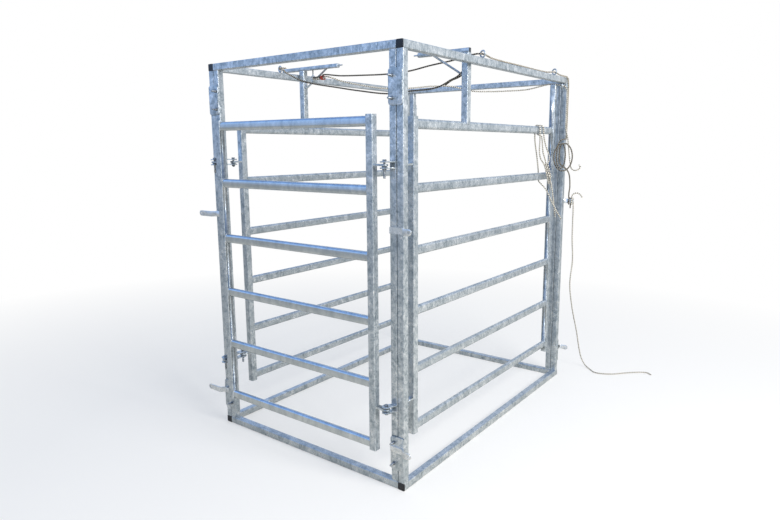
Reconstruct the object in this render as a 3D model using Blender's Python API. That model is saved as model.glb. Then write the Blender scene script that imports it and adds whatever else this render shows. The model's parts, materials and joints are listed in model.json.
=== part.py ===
"""Three-way cattle drafting gate: a galvanised cage with a front gate that swings open,
two side gates that swing across the cage, and the arms and pull ropes that work them.

Units are metres, +Z is up, +X is the right hand and -Y is the front.
The origin is the middle of the front sill's underside, on the ground.
"""
import math

import bmesh
import bpy
import numpy as np
from mathutils import Matrix, Vector
from mathutils.geometry import interpolate_bezier

# Overall frame
WIDTH = 1.400
DEPTH = 2.000
HEIGHT = 2.205
TUBE = 0.040
TUBE_WALL = 0.003
TUBE_CORNER = 0.005
SEAM = 0.0003
WELD = 0.0006
PAD_INSET = 0.0015
PORTAL_SEAM = 0.0015
PLUG_HEAD = 0.004
PLUG_SHANK = 0.018

# Gates
RAIL_HEIGHT = 0.050
RAIL_DEPTH = 0.028
RAIL_WALL = 0.0026
RAIL_COUNT = 6
VENT_RADIUS = 0.005
VENT_FROM_STILE = 0.035
FRONT_GATE_GAP = 0.018
FRONT_GATE_BOTTOM = 0.2005
FRONT_GATE_TOP = 1.878
FRONT_TOP_RAIL = 1.846
FRONT_RAIL_PITCH = 0.3229
FRONT_HINGE_TO_STILE = 0.057
FRONT_LATCH_TO_STILE = 0.040
SIDE_GATE_INSET = 0.064
SIDE_HINGE_TO_STILE = 0.0518
SIDE_GATE_REAR_GAP = 0.055
SIDE_GATE_BOTTOM = 0.238
SIDE_GATE_TOP = 1.873
SIDE_REAR_BOTTOM = 0.2106
SIDE_REAR_UNDER_TOP = 0.052
SIDE_REAR_TOP = HEIGHT - SIDE_REAR_UNDER_TOP
SIDE_TOP_RAIL = 1.837
SIDE_RAIL_PITCH = 0.3128

# Hinge and latch hardware
HINGE_HEIGHTS = {"upper": 1.643, "lower": 0.436}
BRACKET_HEIGHT = 0.035
BRACKET_PLATE = 0.006
BRACKET_RADIUS = 0.022
BRACKET_BASE = 0.040
HINGE_FROM_SIDE = 0.082
LATCH_FROM_SIDE = 0.062
FRONT_PIN_RIGHT = WIDTH / 2 - HINGE_FROM_SIDE
FRONT_PIN_LEFT = LATCH_FROM_SIDE - WIDTH / 2
SIDE_PIN_FROM_POST = 0.0552
STRAP = 0.010
STRAP_RADIUS = 0.018
STRAP_BASE = 0.030
PIN_RADIUS = 0.006
PIN_CLEARANCE = 0.0005
PIN_HEAD = 0.008
HEX_RADIUS = 0.0105
BOSS_RADIUS = 0.0125
ROD_BELOW = 0.045
NUT_THREAD = 0.004

# Joint plates and their bolts
PLATE = 0.006
PLATE_WIDTH = 0.081
PLATE_CORNER = 0.012
UPPER_PLATE_LENGTH = 0.166
UPPER_PLATE_UNDER_TOP = 0.124
UPPER_PLATE_TOP = HEIGHT - UPPER_PLATE_UNDER_TOP
UPPER_PLATE = (UPPER_PLATE_TOP - UPPER_PLATE_LENGTH, UPPER_PLATE_TOP)
LOWER_PLATE = (0.107, 0.285)
BOLT_FROM_END = 0.032
BOLT_RADIUS = 0.005
BOLT_STANDOUT = 0.022
BOLT_HEX = 0.0095
BOLT_HEX_HEIGHT = 0.008

# Connector lugs on the corner posts
LUG_HEIGHT = 0.032
LUG_HOLE = 0.0065
LUG_STANDOFF = 0.022
LUG_REACH_RIGHT = 0.062
LUG_REACH_LEFT = 0.125
LUG_HEIGHTS = (1.334, 0.2177)

# Pull arms over the side gates
ARM_TUBE = 0.025
ARM_WALL = 0.002
ARM_CAP = 0.003
ARM_OVER_RAIL = 0.023
ARM_BOTTOM = HEIGHT + ARM_OVER_RAIL
ARM_Y = {"right": 0.653, "left": 0.686}
SADDLE_DEPTH = 0.012
ARM_INNER_X = 0.324
ARM_OUTER_X_LEFT = -0.820
BRACE_RADIUS = 0.006
BRACE_UNDER_ARM = 0.119
BRACE_FOOT = ARM_BOTTOM - BRACE_UNDER_ARM
BRACE_HEAD_X = 0.424
EYE_RADIUS = 0.018
EYE_WIRE = 0.004
EYE_SHANK = 0.035
HANGING_EYE_X = -0.547
EYE_UNDER_ARM = 0.054
HANGING_EYE_Z = ARM_BOTTOM - EYE_UNDER_ARM
EYE_NECK = 0.0015

# Ropes
ROPE = 0.009
ROPE_GAP = 0.0006
ROPE_BEND = 24
ROPE_REACH = 0.12
HANK_BEND = 35
GUIDE_RADIUS = 0.018
GUIDE_WIRE = 0.005
FRONT_GUIDE_Y = 0.752
GUIDE_FROM_REAR = 0.220
EYE_FROM_REAR = 0.075
LEFT_RING_Y = 0.521
CORNER_DROP_Y = (1.948, 1.928)
CORNER_STANDOFF = 0.0055
HANK_FOOT = 1.7995
HANK_HEART = (0.722, 1.790, 1.750)
HANK_LOOPS = ((0.029, 0.062, 0.095), (0.014, 0.030, 0.086), (0.024, 0.022, 0.078))
LOOP_POINTS = 24
HANK_PITCH = 0.0120
WHIPPING_TURNS = 5
WHIPPING_SLACK = 0.0028
WHIPPING_FOOT = (0.676, 1.745, 1.515)
WHIPPING_HEAD = (0.676, 1.682, 1.612)
LUG_HITCH = 0.012
LUG_HITCH_X = (0.7225, 0.7445)

FRONT_Y = -TUBE / 2
REAR_Y = FRONT_Y + DEPTH
GUIDE_Y = (FRONT_GUIDE_Y, REAR_Y - GUIDE_FROM_REAR)
REAR_EYE_Y = REAR_Y - EYE_FROM_REAR
JAMB_X = WIDTH / 2 - TUBE - PORTAL_SEAM - TUBE / 2
FRONT_GATE_Y = FRONT_Y - FRONT_GATE_GAP - TUBE / 2
SIDE_GATE_X = WIDTH / 2 - SIDE_GATE_INSET
SIDE_PIN_Y = FRONT_Y + TUBE + SIDE_PIN_FROM_POST
SIDE_FRONT_Y = SIDE_PIN_Y + SIDE_HINGE_TO_STILE
SIDE_REAR_Y = REAR_Y - TUBE - SIDE_GATE_REAR_GAP
SIDES = {"right": 1, "left": -1}
FACES = (("front", FRONT_Y, -1), ("rear", REAR_Y, 1))
ARC = 3

MATERIALS = {
    "galvanised": ("#a9b2b8", 0.42, 0.75),
    "galvanised_rail": ("#b4bcc4", 0.30, 0.85),
    "zinc_bolt": ("#5c5f63", 0.45, 0.80),
    "black_plastic": ("#15161a", 0.50, 0.0),
    "black_rope": ("#24221f", 0.90, 0.0),
    "flecked_rope": ("#b7a98a", 0.90, 0.0),
}


def clear_scene():
    for item in list(bpy.data.objects):
        bpy.data.objects.remove(item, do_unlink=True)


def new_collection(name):
    made = bpy.data.collections.new(name)
    bpy.context.scene.collection.children.link(made)
    return made


clear_scene()
PARTS = new_collection("cattle_drafting_gate")
CUTTERS = new_collection("cutters")


def srgb_to_linear(text):
    """One sRGB hex colour as linear red, green and blue."""
    values = [int(text[i : i + 2], 16) / 255 for i in (1, 3, 5)]
    return [v / 12.92 if v <= 0.04045 else ((v + 0.055) / 1.055) ** 2.4 for v in values]


def finish(name, kind):
    """A Principled material for one node, from the table of finishes."""
    colour, roughness, metallic = MATERIALS[kind]
    made = bpy.data.materials.new(name + "_" + kind)
    made.use_nodes = True
    shader = made.node_tree.nodes["Principled BSDF"]
    shader.inputs["Base Color"].default_value = (*srgb_to_linear(colour), 1)
    shader.inputs["Roughness"].default_value = roughness
    shader.inputs["Metallic"].default_value = metallic
    return made


def arc(centre, radius, start, end, steps):
    """Points on an arc, both ends included; angles in degrees."""
    turns = np.radians(np.linspace(start, end, steps))
    return [(centre[0] + radius * math.cos(t), centre[1] + radius * math.sin(t)) for t in turns]


def circle(centre, radius, steps):
    return arc(centre, radius, 0, 360 - 360 / steps, steps)


def rounded_box(low, high, radius, steps=ARC):
    """The outline of a box with round corners, from its low and high corners."""
    (x0, y0), (x1, y1) = low, high
    corners = [(x1 - radius, y0 + radius, -90), (x1 - radius, y1 - radius, 0)]
    corners += [(x0 + radius, y1 - radius, 90), (x0 + radius, y0 + radius, 180)]
    return [p for x, y, t in corners for p in arc((x, y), radius, t, t + 90, steps)]


def hull(points):
    """The convex outline round some points, anticlockwise."""
    points = sorted(set((round(x, 7), round(y, 7)) for x, y in points))

    def half(ordered):
        chain = []
        for p in ordered:
            while len(chain) > 1 and turn(chain[-2], chain[-1], p) <= 0:
                chain.pop()
            chain.append(p)
        return chain[:-1]

    return half(points) + half(points[::-1])


def turn(a, b, c):
    return (b[0] - a[0]) * (c[1] - a[1]) - (b[1] - a[1]) * (c[0] - a[0])


def prism(loops, low, high, axis="Z"):
    """A flat outline, holes included, carried along X, Y or Z from low to high.
    For X the outline's pair is (y, z), for Y it is (z, x) and for Z it is (x, y)."""
    data = bpy.data.curves.new("outline", "CURVE")
    data.dimensions = "2D"
    data.fill_mode = "BOTH"
    data.extrude = (high - low) / 2
    for loop in loops:
        spline = data.splines.new("POLY")
        spline.points.add(len(loop) - 1)
        spline.points.foreach_set("co", [v for x, y in loop for v in (x, y, 0, 1)])
        spline.use_cyclic_u = True
    made = bpy.data.objects.new("outline", data)
    middle = (low + high) / 2
    turns = {"X": Matrix(((0, 0, 1), (1, 0, 0), (0, 1, 0))), "Z": Matrix.Identity(3)}
    turns["Y"] = Matrix(((0, 1, 0), (0, 0, 1), (1, 0, 0)))
    made.rotation_euler = turns[axis].to_euler()
    made.location = {"X": (middle, 0, 0), "Y": (0, middle, 0), "Z": (0, 0, middle)}[axis]
    CUTTERS.objects.link(made)
    return made


def rod(start, end, radius, steps=10):
    """A solid round bar between two points."""
    start, end = Vector(start), Vector(end)
    way = end - start
    shell = bmesh.new()
    bmesh.ops.create_cone(
        shell, cap_ends=True, segments=steps, radius1=radius, radius2=radius, depth=way.length
    )
    data = bpy.data.meshes.new("rod")
    shell.to_mesh(data)
    shell.free()
    made = bpy.data.objects.new("rod", data)
    made.rotation_euler = way.to_track_quat("Z", "Y").to_euler()
    made.location = (start + end) / 2
    CUTTERS.objects.link(made)
    return made


def ring(centre, normal, radius, wire, around=12, across=6):
    """A round ring of wire about a centre."""
    bpy.ops.mesh.primitive_torus_add(
        major_radius=radius, minor_radius=wire, major_segments=around, minor_segments=across
    )
    made = bpy.context.object
    made.rotation_euler = Vector(normal).to_track_quat("Z", "Y").to_euler()
    made.location = centre
    for home in list(made.users_collection):
        home.objects.unlink(made)
    CUTTERS.objects.link(made)
    return made


def tube_along(points, radius, sides=2):
    """A round tube with filled caps along a line of points."""
    data = bpy.data.curves.new("tube", "CURVE")
    data.dimensions = "3D"
    data.bevel_depth = radius
    data.bevel_resolution = sides
    data.use_fill_caps = True
    spline = data.splines.new("POLY")
    spline.points.add(len(points) - 1)
    spline.points.foreach_set("co", [v for p in points for v in (*p, 1)])
    made = bpy.data.objects.new("tube", data)
    CUTTERS.objects.link(made)
    return made


def evaluated_mesh(item):
    """The object's finished shape in world space, the caps of a curve welded."""
    bpy.context.view_layer.update()
    graph = bpy.context.evaluated_depsgraph_get()
    data = bpy.data.meshes.new_from_object(item.evaluated_get(graph))
    data.transform(item.matrix_world)
    if item.type == "CURVE":
        shell = bmesh.new()
        shell.from_mesh(data)
        bmesh.ops.remove_doubles(shell, verts=shell.verts, dist=0.00002)
        shell.to_mesh(data)
        shell.free()
    data.materials.clear()
    return data


def solid(item):
    """The same shape as a plain mesh object, with the source object removed."""
    made = bpy.data.objects.new("solid", evaluated_mesh(item))
    CUTTERS.objects.link(made)
    bpy.data.objects.remove(item, do_unlink=True)
    return made


def combine(base, others, operation):
    """A Boolean of one shape with some others, applied."""
    base = solid(base)
    bench = new_collection("bench")
    for other in others:
        tool = solid(other)
        CUTTERS.objects.unlink(tool)
        bench.objects.link(tool)
    change = base.modifiers.new("combine", "BOOLEAN")
    change.operation = operation
    change.solver = "EXACT"
    change.operand_type = "COLLECTION"
    change.collection = bench
    made = solid(base)
    for tool in list(bench.objects):
        bpy.data.objects.remove(tool, do_unlink=True)
    bpy.data.collections.remove(bench)
    return made


def weld(shapes):
    """Several overlapping shapes as one closed body."""
    return combine(shapes[0], shapes[1:], "UNION") if len(shapes) > 1 else shapes[0]


def node(name, shape, kind, origin=(0, 0, 0)):
    """One named part from a shape, with its origin at a chosen point."""
    data = evaluated_mesh(shape)
    bpy.data.objects.remove(shape, do_unlink=True)
    data.name = name
    data.transform(Matrix.Translation(-Vector(origin)))
    data.materials.append(finish(name, kind))
    data.shade_smooth()
    data.set_sharp_from_angle(angle=math.radians(35))
    made = bpy.data.objects.new(name, data)
    made.location = origin
    PARTS.objects.link(made)
    return made


def square_tube(centre, low, high, axis, size=TUBE, wall=TUBE_WALL):
    """A hollow square tube with round corners; centre is the outline's pair for the axis."""
    half = size / 2
    inner = half - wall
    x, y = centre
    outside = rounded_box((x - half, y - half), (x + half, y + half), TUBE_CORNER)
    bore = max(TUBE_CORNER - wall, 0.001)
    inside = rounded_box((x - inner, y - inner), (x + inner, y + inner), bore, 2)
    return prism([outside, inside], low, high, axis)


def gate_rail(centre, low, high, axis):
    """A flat-sided oval tube standing on edge, with a drain hole under each end."""
    x, y = centre
    reach = (RAIL_HEIGHT - RAIL_DEPTH) / 2
    way = (0, reach) if axis == "X" else (reach, 0)
    ends = (x + way[0], y + way[1]), (x - way[0], y - way[1])
    loops = []
    for radius, steps in ((RAIL_DEPTH / 2, 12), (RAIL_DEPTH / 2 - RAIL_WALL, 8)):
        loops.append(hull(circle(ends[0], radius, steps) + circle(ends[1], radius, steps)))
    drains = []
    for along in (low + VENT_FROM_STILE, high - VENT_FROM_STILE):
        foot = (along, x, y) if axis == "X" else (y, along, x)
        below = (foot[0], foot[1], foot[2] - RAIL_HEIGHT)
        drains.append(rod(below, foot, VENT_RADIUS, 6))
    return combine(prism(loops, low, high, axis), drains, "DIFFERENCE")


def side_frames():
    """Two upright rectangles of square tube, their rails running the full depth."""
    for side, s in SIDES.items():
        x = s * (WIDTH - TUBE) / 2
        ends = FRONT_Y + PLUG_HEAD + SEAM, REAR_Y - PLUG_HEAD - SEAM
        top = square_tube((HEIGHT - TUBE / 2, x), *ends, "Y")
        eyes = rope_guides() if s > 0 else rope_hook()
        node(f"{side}_top_rail", weld([top, *eyes]), "galvanised")
        bottom = square_tube((TUBE / 2, x), *ends, "Y")
        node(f"{side}_bottom_rail", bottom, "galvanised")
        for end, face, out in FACES:
            span = TUBE + SEAM, HEIGHT - TUBE - SEAM
            post = square_tube((x, face - out * TUBE / 2), *span, "Z")
            fittings = joint_plates(s, face, out) + connector_lugs(s, face, out)
            node(f"{side}_{end}_post", weld([post, *fittings]), "galvanised")


def portals():
    """Front and rear doorways of square tube, held between the side frames."""
    reach = WIDTH / 2 - TUBE - PORTAL_SEAM
    for end, face, out in FACES:
        y = face - out * TUBE / 2
        for level, z in (("header", HEIGHT - TUBE / 2), ("sill", TUBE / 2)):
            node(f"{end}_{level}", square_tube((y, z), -reach, reach, "X"), "galvanised")
        for side, s in SIDES.items():
            span = TUBE + SEAM, HEIGHT - TUBE - SEAM
            jamb = square_tube((s * JAMB_X, y), *span, "Z")
            plates = hinge_brackets(s) if end == "front" else []
            node(f"{end}_{side}_jamb", weld([jamb, *plates]), "galvanised")


def rope_guides():
    """Two rings that stand on the right top rail and the eye under its rear end."""
    x = (WIDTH - TUBE) / 2
    shapes = []
    for y in GUIDE_Y:
        shapes += standing_ring((x, y, HEIGHT), (0.3, 1, 0))
    root = (x, REAR_EYE_Y, HEIGHT - TUBE + WELD)
    low = HEIGHT - TUBE - GUIDE_RADIUS
    eye = ring((x, REAR_EYE_Y, low), (1, 0.4, 0), GUIDE_RADIUS, GUIDE_WIRE)
    neck = rod(root, (x, REAR_EYE_Y, low + GUIDE_RADIUS - GUIDE_WIRE), GUIDE_WIRE)
    return shapes + [eye, neck]


def rope_hook():
    """The ring on the left top rail that the right gate's rope is tied to."""
    x = -(WIDTH - TUBE) / 2
    return standing_ring((x, LEFT_RING_Y, HEIGHT), (0.3, 1, 0))


def standing_ring(foot, normal):
    """A wire ring standing on a rail on a short neck."""
    x, y, z = foot
    middle = z + GUIDE_RADIUS + GUIDE_WIRE
    eye = ring((x, y, middle), normal, GUIDE_RADIUS, GUIDE_WIRE)
    neck = rod((x, y, z - WELD), (x, y, middle - GUIDE_RADIUS + GUIDE_WIRE), GUIDE_WIRE)
    return [eye, neck]


def end_plugs():
    """A flat plastic plug in each open end of the side frames' rails."""
    half = TUBE / 2
    fit = half - TUBE_WALL - SEAM
    for side, s in SIDES.items():
        x = s * (WIDTH - TUBE) / 2
        for level, z in (("top", HEIGHT - half), ("bottom", half)):
            for end, face, out in FACES:
                square = rounded_box((z - half, x - half), (z + half, x + half), TUBE_CORNER)
                head = prism([square], *sorted((face, face - out * PLUG_HEAD)), "Y")
                root = face - out * PLUG_HEAD / 2
                tip = face - out * (PLUG_HEAD + PLUG_SHANK)
                square = rounded_box((z - fit, x - fit), (z + fit, x + fit), 0.003, 2)
                shank = prism([square], *sorted((root, tip)), "Y")
                name = f"{side}_{level}_{end}_plug"
                node(name, weld([head, shank]), "black_plastic")


def bolt_heights(low, high):
    return low + BOLT_FROM_END, high - BOLT_FROM_END


def weld_pad(s, low, high, near, far):
    """A thin fillet of weld that carries a fitting on the flat of a corner post."""
    x = s * (WIDTH - TUBE) / 2
    half = TUBE / 2 - TUBE_CORNER - PAD_INSET
    outline = rounded_box((low, x - half), (high, x + half), PAD_INSET, 2)
    return prism([outline], *sorted((near, far)), "Y")


def joint_plates(s, face, out):
    """Flat plates on the corner post that lap over the seam to the portal's jamb."""
    near = face + out * SEAM
    far = near + out * PLATE
    inner = s * (WIDTH / 2 - 2 * TUBE - PORTAL_SEAM)
    outer = inner + s * PLATE_WIDTH
    shapes = []
    for low, high in (UPPER_PLATE, LOWER_PLATE):
        outline = rounded_box((low, min(inner, outer)), (high, max(inner, outer)), PLATE_CORNER)
        hole = BOLT_RADIUS + SEAM
        holes = [circle((z, s * JAMB_X), hole, 10) for z in bolt_heights(low, high)]
        shapes.append(prism([outline, *holes], *sorted((near, far)), "Y"))
        inset = 2 * PLATE_CORNER
        root, top = face - out * WELD, near + out * WELD
        shapes.append(weld_pad(s, low + inset, high - inset, root, top))
    return shapes


def joint_bolts():
    """A bolt through each hole of the joint plates, its nut outside and its thread standing out."""
    for end, face, out in FACES:
        seat = face + out * (2 * SEAM + PLATE)
        for side, s in SIDES.items():
            heights = [z for plate in (LOWER_PLATE, UPPER_PLATE) for z in bolt_heights(*plate)]
            for count, z in enumerate(heights, 1):
                x = s * JAMB_X
                top = seat + out * BOLT_HEX_HEIGHT
                nut = prism([circle((z, x), BOLT_HEX, 6)], *sorted((seat, top)), "Y")
                root, tip = face + out * SEAM, top + out * BOLT_STANDOUT
                shank = rod((x, root, z), (x, tip, z), BOLT_RADIUS, 8)
                node(f"{end}_{side}_bolt_{count}", weld([nut, shank]), "zinc_bolt")


def connector_lug(s, face, out, z, seat):
    """A cranked flat bar with a round, drilled end: its plan outline cut to its front view."""
    reach = LUG_REACH_RIGHT if s > 0 else LUG_REACH_LEFT
    start = WIDTH / 2 - 2 * TUBE
    crank = WIDTH / 2 - 0.004
    end = WIDTH / 2 + reach
    t = PLATE
    run = LUG_STANDOFF
    k = t * math.tan(math.radians(22.5))
    near = [(start, 0), (crank, 0), (crank + run, run), (end, run)]
    back = [(end, run + t), (crank + run - k, run + t), (crank - k, t), (start, t)]
    base = face + out * seat
    plan = [(s * x, base + out * y) for x, y in near + back]
    low, high = z - LUG_HEIGHT / 2, z + LUG_HEIGHT / 2
    band = prism([plan], low, high, "Z")
    radius = LUG_HEIGHT / 2
    tip = (z, s * (end - radius))
    foot = s * (start - 0.01)
    front_view = hull(circle(tip, radius, 16) + [(low, foot), (high, foot)])
    depth = sorted((face - out * 0.01, face + out * 0.06))
    blank = prism([front_view, circle(tip, LUG_HOLE, 10)], *depth, "Y")
    return combine(band, [blank], "INTERSECT")


def connector_lugs(s, face, out):
    """Lugs that pin the cage to the next yard panel, two on each corner post."""
    middle, low = LUG_HEIGHTS
    half = LUG_HEIGHT / 2 - 0.004
    pad = weld_pad(s, middle - half, middle + half, face - out * WELD, face + out * (SEAM + WELD))
    lugs = [connector_lug(s, face, out, middle, SEAM)]
    lugs.append(connector_lug(s, face, out, low, SEAM + PLATE - WELD))
    return [pad, *lugs]


def bracket_plates(pin, base, z):
    """Two tongue plates, one above and one below the strap, drilled for the pin."""
    outline = hull(circle(pin, BRACKET_RADIUS, 14) + base)
    hole = circle(pin, PIN_RADIUS + PIN_CLEARANCE, 10)
    low, high = z - BRACKET_HEIGHT / 2, z + BRACKET_HEIGHT / 2
    lower = prism([outline, hole], low, low + BRACKET_PLATE)
    upper = prism([outline, hole], high - BRACKET_PLATE, high)
    return [lower, upper]


def hinge_brackets(s):
    """The tongue plates on one front jamb: for the front gate and, behind, for the side gate."""
    plates = []
    half = BRACKET_BASE / 2 - SEAM
    front_pin = (FRONT_PIN_RIGHT if s > 0 else FRONT_PIN_LEFT, FRONT_GATE_Y)
    side_pin = (s * SIDE_GATE_X, SIDE_PIN_Y)
    for z in HINGE_HEIGHTS.values():
        for pin, y in ((front_pin, FRONT_Y + WELD), (side_pin, FRONT_Y + TUBE - WELD)):
            inset = half - TUBE_CORNER / 2
            base = [(s * JAMB_X - inset, y), (s * JAMB_X + inset, y)]
            plates += bracket_plates(pin, base, z)
    return plates


def strap(pin, base, z):
    """A gate's flat strap between the bracket plates, on a boss that bears on the lower one."""
    outline = hull(circle(pin, STRAP_RADIUS, 16) + base)
    plate = prism([outline], z - STRAP / 2, z + STRAP / 2)
    floor = z - BRACKET_HEIGHT / 2 + BRACKET_PLATE + SEAM
    boss = prism([circle(pin, BOSS_RADIUS, 12)], floor, z - STRAP / 2 + WELD)
    hole = rod((*pin, z - BRACKET_HEIGHT), (*pin, z + BRACKET_HEIGHT), PIN_RADIUS + PIN_CLEARANCE)
    return combine(weld([plate, boss]), [hole], "DIFFERENCE")


def latch_strap(pin, base, z):
    """A strap whose hole is open towards the rear, so the gate swings off its pin."""
    x, y = pin
    mouth = PIN_RADIUS + PIN_CLEARANCE
    far = y + STRAP_RADIUS + 0.01
    opening = [(x - mouth, y), (x + mouth, y), (x + mouth, far), (x - mouth, far)]
    slot = prism([opening], z - BRACKET_HEIGHT / 2, z + BRACKET_HEIGHT / 2)
    return combine(strap(pin, base, z), [slot], "DIFFERENCE")


def hinge_bolt(pin, z, below):
    """A hex bolt down through bracket and strap, with its nut below."""
    x, y = pin
    top = z + BRACKET_HEIGHT / 2 + SEAM
    bottom = z - BRACKET_HEIGHT / 2 - SEAM
    head = prism([circle(pin, HEX_RADIUS, 6)], top, top + PIN_HEAD)
    nut = prism([circle(pin, HEX_RADIUS, 6)], bottom - PIN_HEAD, bottom)
    shank = rod((x, y, bottom - PIN_HEAD - below), (x, y, top + PIN_HEAD / 2), PIN_RADIUS)
    return weld([shank, head, nut])


def drop_pin(pin, z, below):
    """A headed rod that drops through the latch bracket and lifts out again."""
    x, y = pin
    top = z + BRACKET_HEIGHT / 2 + SEAM
    bottom = z - BRACKET_HEIGHT / 2
    head = prism([circle(pin, HEX_RADIUS, 6)], top, top + PIN_HEAD)
    shank = rod((x, y, bottom - below), (x, y, top + PIN_HEAD / 2), PIN_RADIUS)
    return weld([shank, head])


def front_gate():
    """The front gate: two stiles, six round rails, hinge straps right and latch straps left."""
    y = FRONT_GATE_Y
    right = FRONT_PIN_RIGHT - FRONT_HINGE_TO_STILE
    left = FRONT_PIN_LEFT + FRONT_LATCH_TO_STILE
    span = FRONT_GATE_BOTTOM, FRONT_GATE_TOP
    heights = [FRONT_TOP_RAIL - i * FRONT_RAIL_PITCH for i in range(RAIL_COUNT)]
    reach = left + TUBE - WELD, right - TUBE + WELD
    shapes = [square_tube((x, y), *span, "Z") for x in (right - TUBE / 2, left + TUBE / 2)]
    shapes += [gate_rail((y, z), *reach, "X") for z in heights]
    half = STRAP_BASE / 2
    for z in HINGE_HEIGHTS.values():
        root = right - WELD
        base = [(root, y - half), (root, y + half)]
        shapes.append(strap((FRONT_PIN_RIGHT, y), base, z))
        root = left + WELD
        base = [(root, y - half), (root, y + half)]
        shapes.append(latch_strap((FRONT_PIN_LEFT, y), base, z))
    node("front_gate", weld(shapes), "galvanised", (FRONT_PIN_RIGHT, y, 0))


def side_gate(side, s):
    """A side gate, hinged at the front and standing along the cage's side."""
    x = s * SIDE_GATE_X
    front = SIDE_FRONT_Y
    rear = SIDE_REAR_Y - TUBE
    heights = [SIDE_TOP_RAIL - i * SIDE_RAIL_PITCH for i in range(RAIL_COUNT)]
    shapes = [
        square_tube((x, front + TUBE / 2), SIDE_GATE_BOTTOM, SIDE_GATE_TOP, "Z"),
        square_tube((x, rear + TUBE / 2), SIDE_REAR_BOTTOM, SIDE_REAR_TOP, "Z"),
    ]
    shapes += [gate_rail((z, x), front + TUBE - WELD, rear + WELD, "Y") for z in heights]
    half = STRAP_BASE / 2
    base = [(x - half, front + WELD), (x + half, front + WELD)]
    for z in HINGE_HEIGHTS.values():
        shapes.append(strap((x, SIDE_PIN_Y), base, z))
    node(f"{side}_gate", weld(shapes), "galvanised", (x, SIDE_PIN_Y, 0))


def pull_arm(side, s):
    """The upright saddled on the gate's top rail, with the pull arm, its brace and rope eyes."""
    x = s * SIDE_GATE_X
    y = ARM_Y[side]
    foot = SIDE_TOP_RAIL + SADDLE_DEPTH
    post = square_tube((x, y), foot, ARM_BOTTOM, "Z")
    crown = SIDE_TOP_RAIL + (RAIL_HEIGHT - RAIL_DEPTH) / 2
    saddle = RAIL_DEPTH / 2 + 2 * SEAM
    tool = rod((x, y - TUBE, crown), (x, y + TUBE, crown), saddle, 24)
    post = combine(post, [tool], "DIFFERENCE")
    z = ARM_BOTTOM + ARM_TUBE / 2
    inner = s * ARM_INNER_X
    outer = x + s * TUBE / 2 if s > 0 else ARM_OUTER_X_LEFT
    low, high = sorted((inner, outer))
    arm = square_tube((y, z - WELD), low, high, "X", ARM_TUBE, ARM_WALL)
    face = x - s * TUBE / 2
    start = Vector((face + s * BRACE_RADIUS / 2, y, BRACE_FOOT))
    head = Vector((s * BRACE_HEAD_X, y, ARM_BOTTOM + ARM_WALL / 2))
    shapes = [post, arm, rod(start, head, BRACE_RADIUS)]
    end = inner - s * EYE_SHANK
    bolt = rod((inner + s * EYE_SHANK / 2, y, z), (end, y, z), EYE_WIRE)
    half = ARM_TUBE / 2 - WELD
    cap = rounded_box((y - half, z - WELD - half), (y + half, z - WELD + half), TUBE_CORNER)
    shapes += [bolt, prism([cap], *sorted((inner + s * WELD, inner - s * ARM_CAP)), "X")]
    if s < 0:
        x_eye = HANGING_EYE_X
        crown = HANGING_EYE_Z + EYE_RADIUS
        shapes.append(rod((x_eye, y, ARM_BOTTOM + EYE_NECK), (x_eye, y, crown), EYE_WIRE))
        shapes.append(ring((x_eye, y, HANGING_EYE_Z), (0, 1, 0), EYE_RADIUS, EYE_WIRE))
    node(f"{side}_pull_arm", weld(shapes), "galvanised", (x, SIDE_PIN_Y, 0))


def hinge_bolts():
    """The bolts that the three gates turn on, and the two drop pins of the front latch."""
    for level, z in HINGE_HEIGHTS.items():
        below = ROD_BELOW - PIN_HEAD if level == "upper" else NUT_THREAD
        right, left = (FRONT_PIN_RIGHT, FRONT_GATE_Y), (FRONT_PIN_LEFT, FRONT_GATE_Y)
        node(f"front_hinge_bolt_{level}", hinge_bolt(right, z, below), "zinc_bolt", (*right, z))
        node(f"latch_pin_{level}", drop_pin(left, z, ROD_BELOW), "zinc_bolt", (*left, z))
        for side, s in SIDES.items():
            below = NUT_THREAD if level == "upper" else ROD_BELOW - 2 * PIN_HEAD
            pin = (s * SIDE_GATE_X, SIDE_PIN_Y)
            name = f"{side}_hinge_bolt_{level}"
            node(name, hinge_bolt(pin, z, below), "zinc_bolt", (*pin, z))


def smooth_way(points, bend, reach):
    """A smooth curve through a rope's points, read often where it bends and seldom where
    it runs straight: a new point each time it has turned by bend degrees or run by reach.
    Both ends keep the point beside them, so that they are cut square."""
    points = [Vector(p) for p in points]
    points = [2 * points[0] - points[1], *points, 2 * points[-1] - points[-2]]
    dense = []
    for before, a, b, after in zip(points, points[1:], points[2:], points[3:]):
        third = (b - a).length / 3
        leaving = a + (b - before).normalized() * third
        arriving = b - (after - a).normalized() * third
        steps = max(4, int(third / 0.0007))
        dense += interpolate_bezier(a, leaving, arriving, b, steps)[:-1]
    dense.append(points[-2])
    kept, turned, run = dense[:2], 0.0, 0.0
    for before, here, after in zip(dense[1:], dense[2:], dense[3:]):
        turned += math.degrees((here - before).angle(after - here))
        run += (here - before).length
        if turned > bend or run > reach:
            kept.append(here)
            turned, run = 0.0, 0.0
    return [*kept, *dense[-2:]]


def least_gap(points):
    """The smallest clearance of a tube to itself, on points 2 mm apart along its line."""
    line = []
    for a, b in zip(points, points[1:]):
        steps = max(1, int((b - a).length / 0.002))
        line += [a.lerp(b, i / steps) for i in range(steps)]
    line = np.array([*line, points[-1]])
    run = np.concatenate([[0], np.cumsum(np.linalg.norm(np.diff(line, axis=0), axis=1))])
    apart = np.linalg.norm(line[:, None] - line[None], axis=2)
    far = np.abs(run[:, None] - run[None]) > 3 * ROPE
    return apart[far].min() - ROPE


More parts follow.
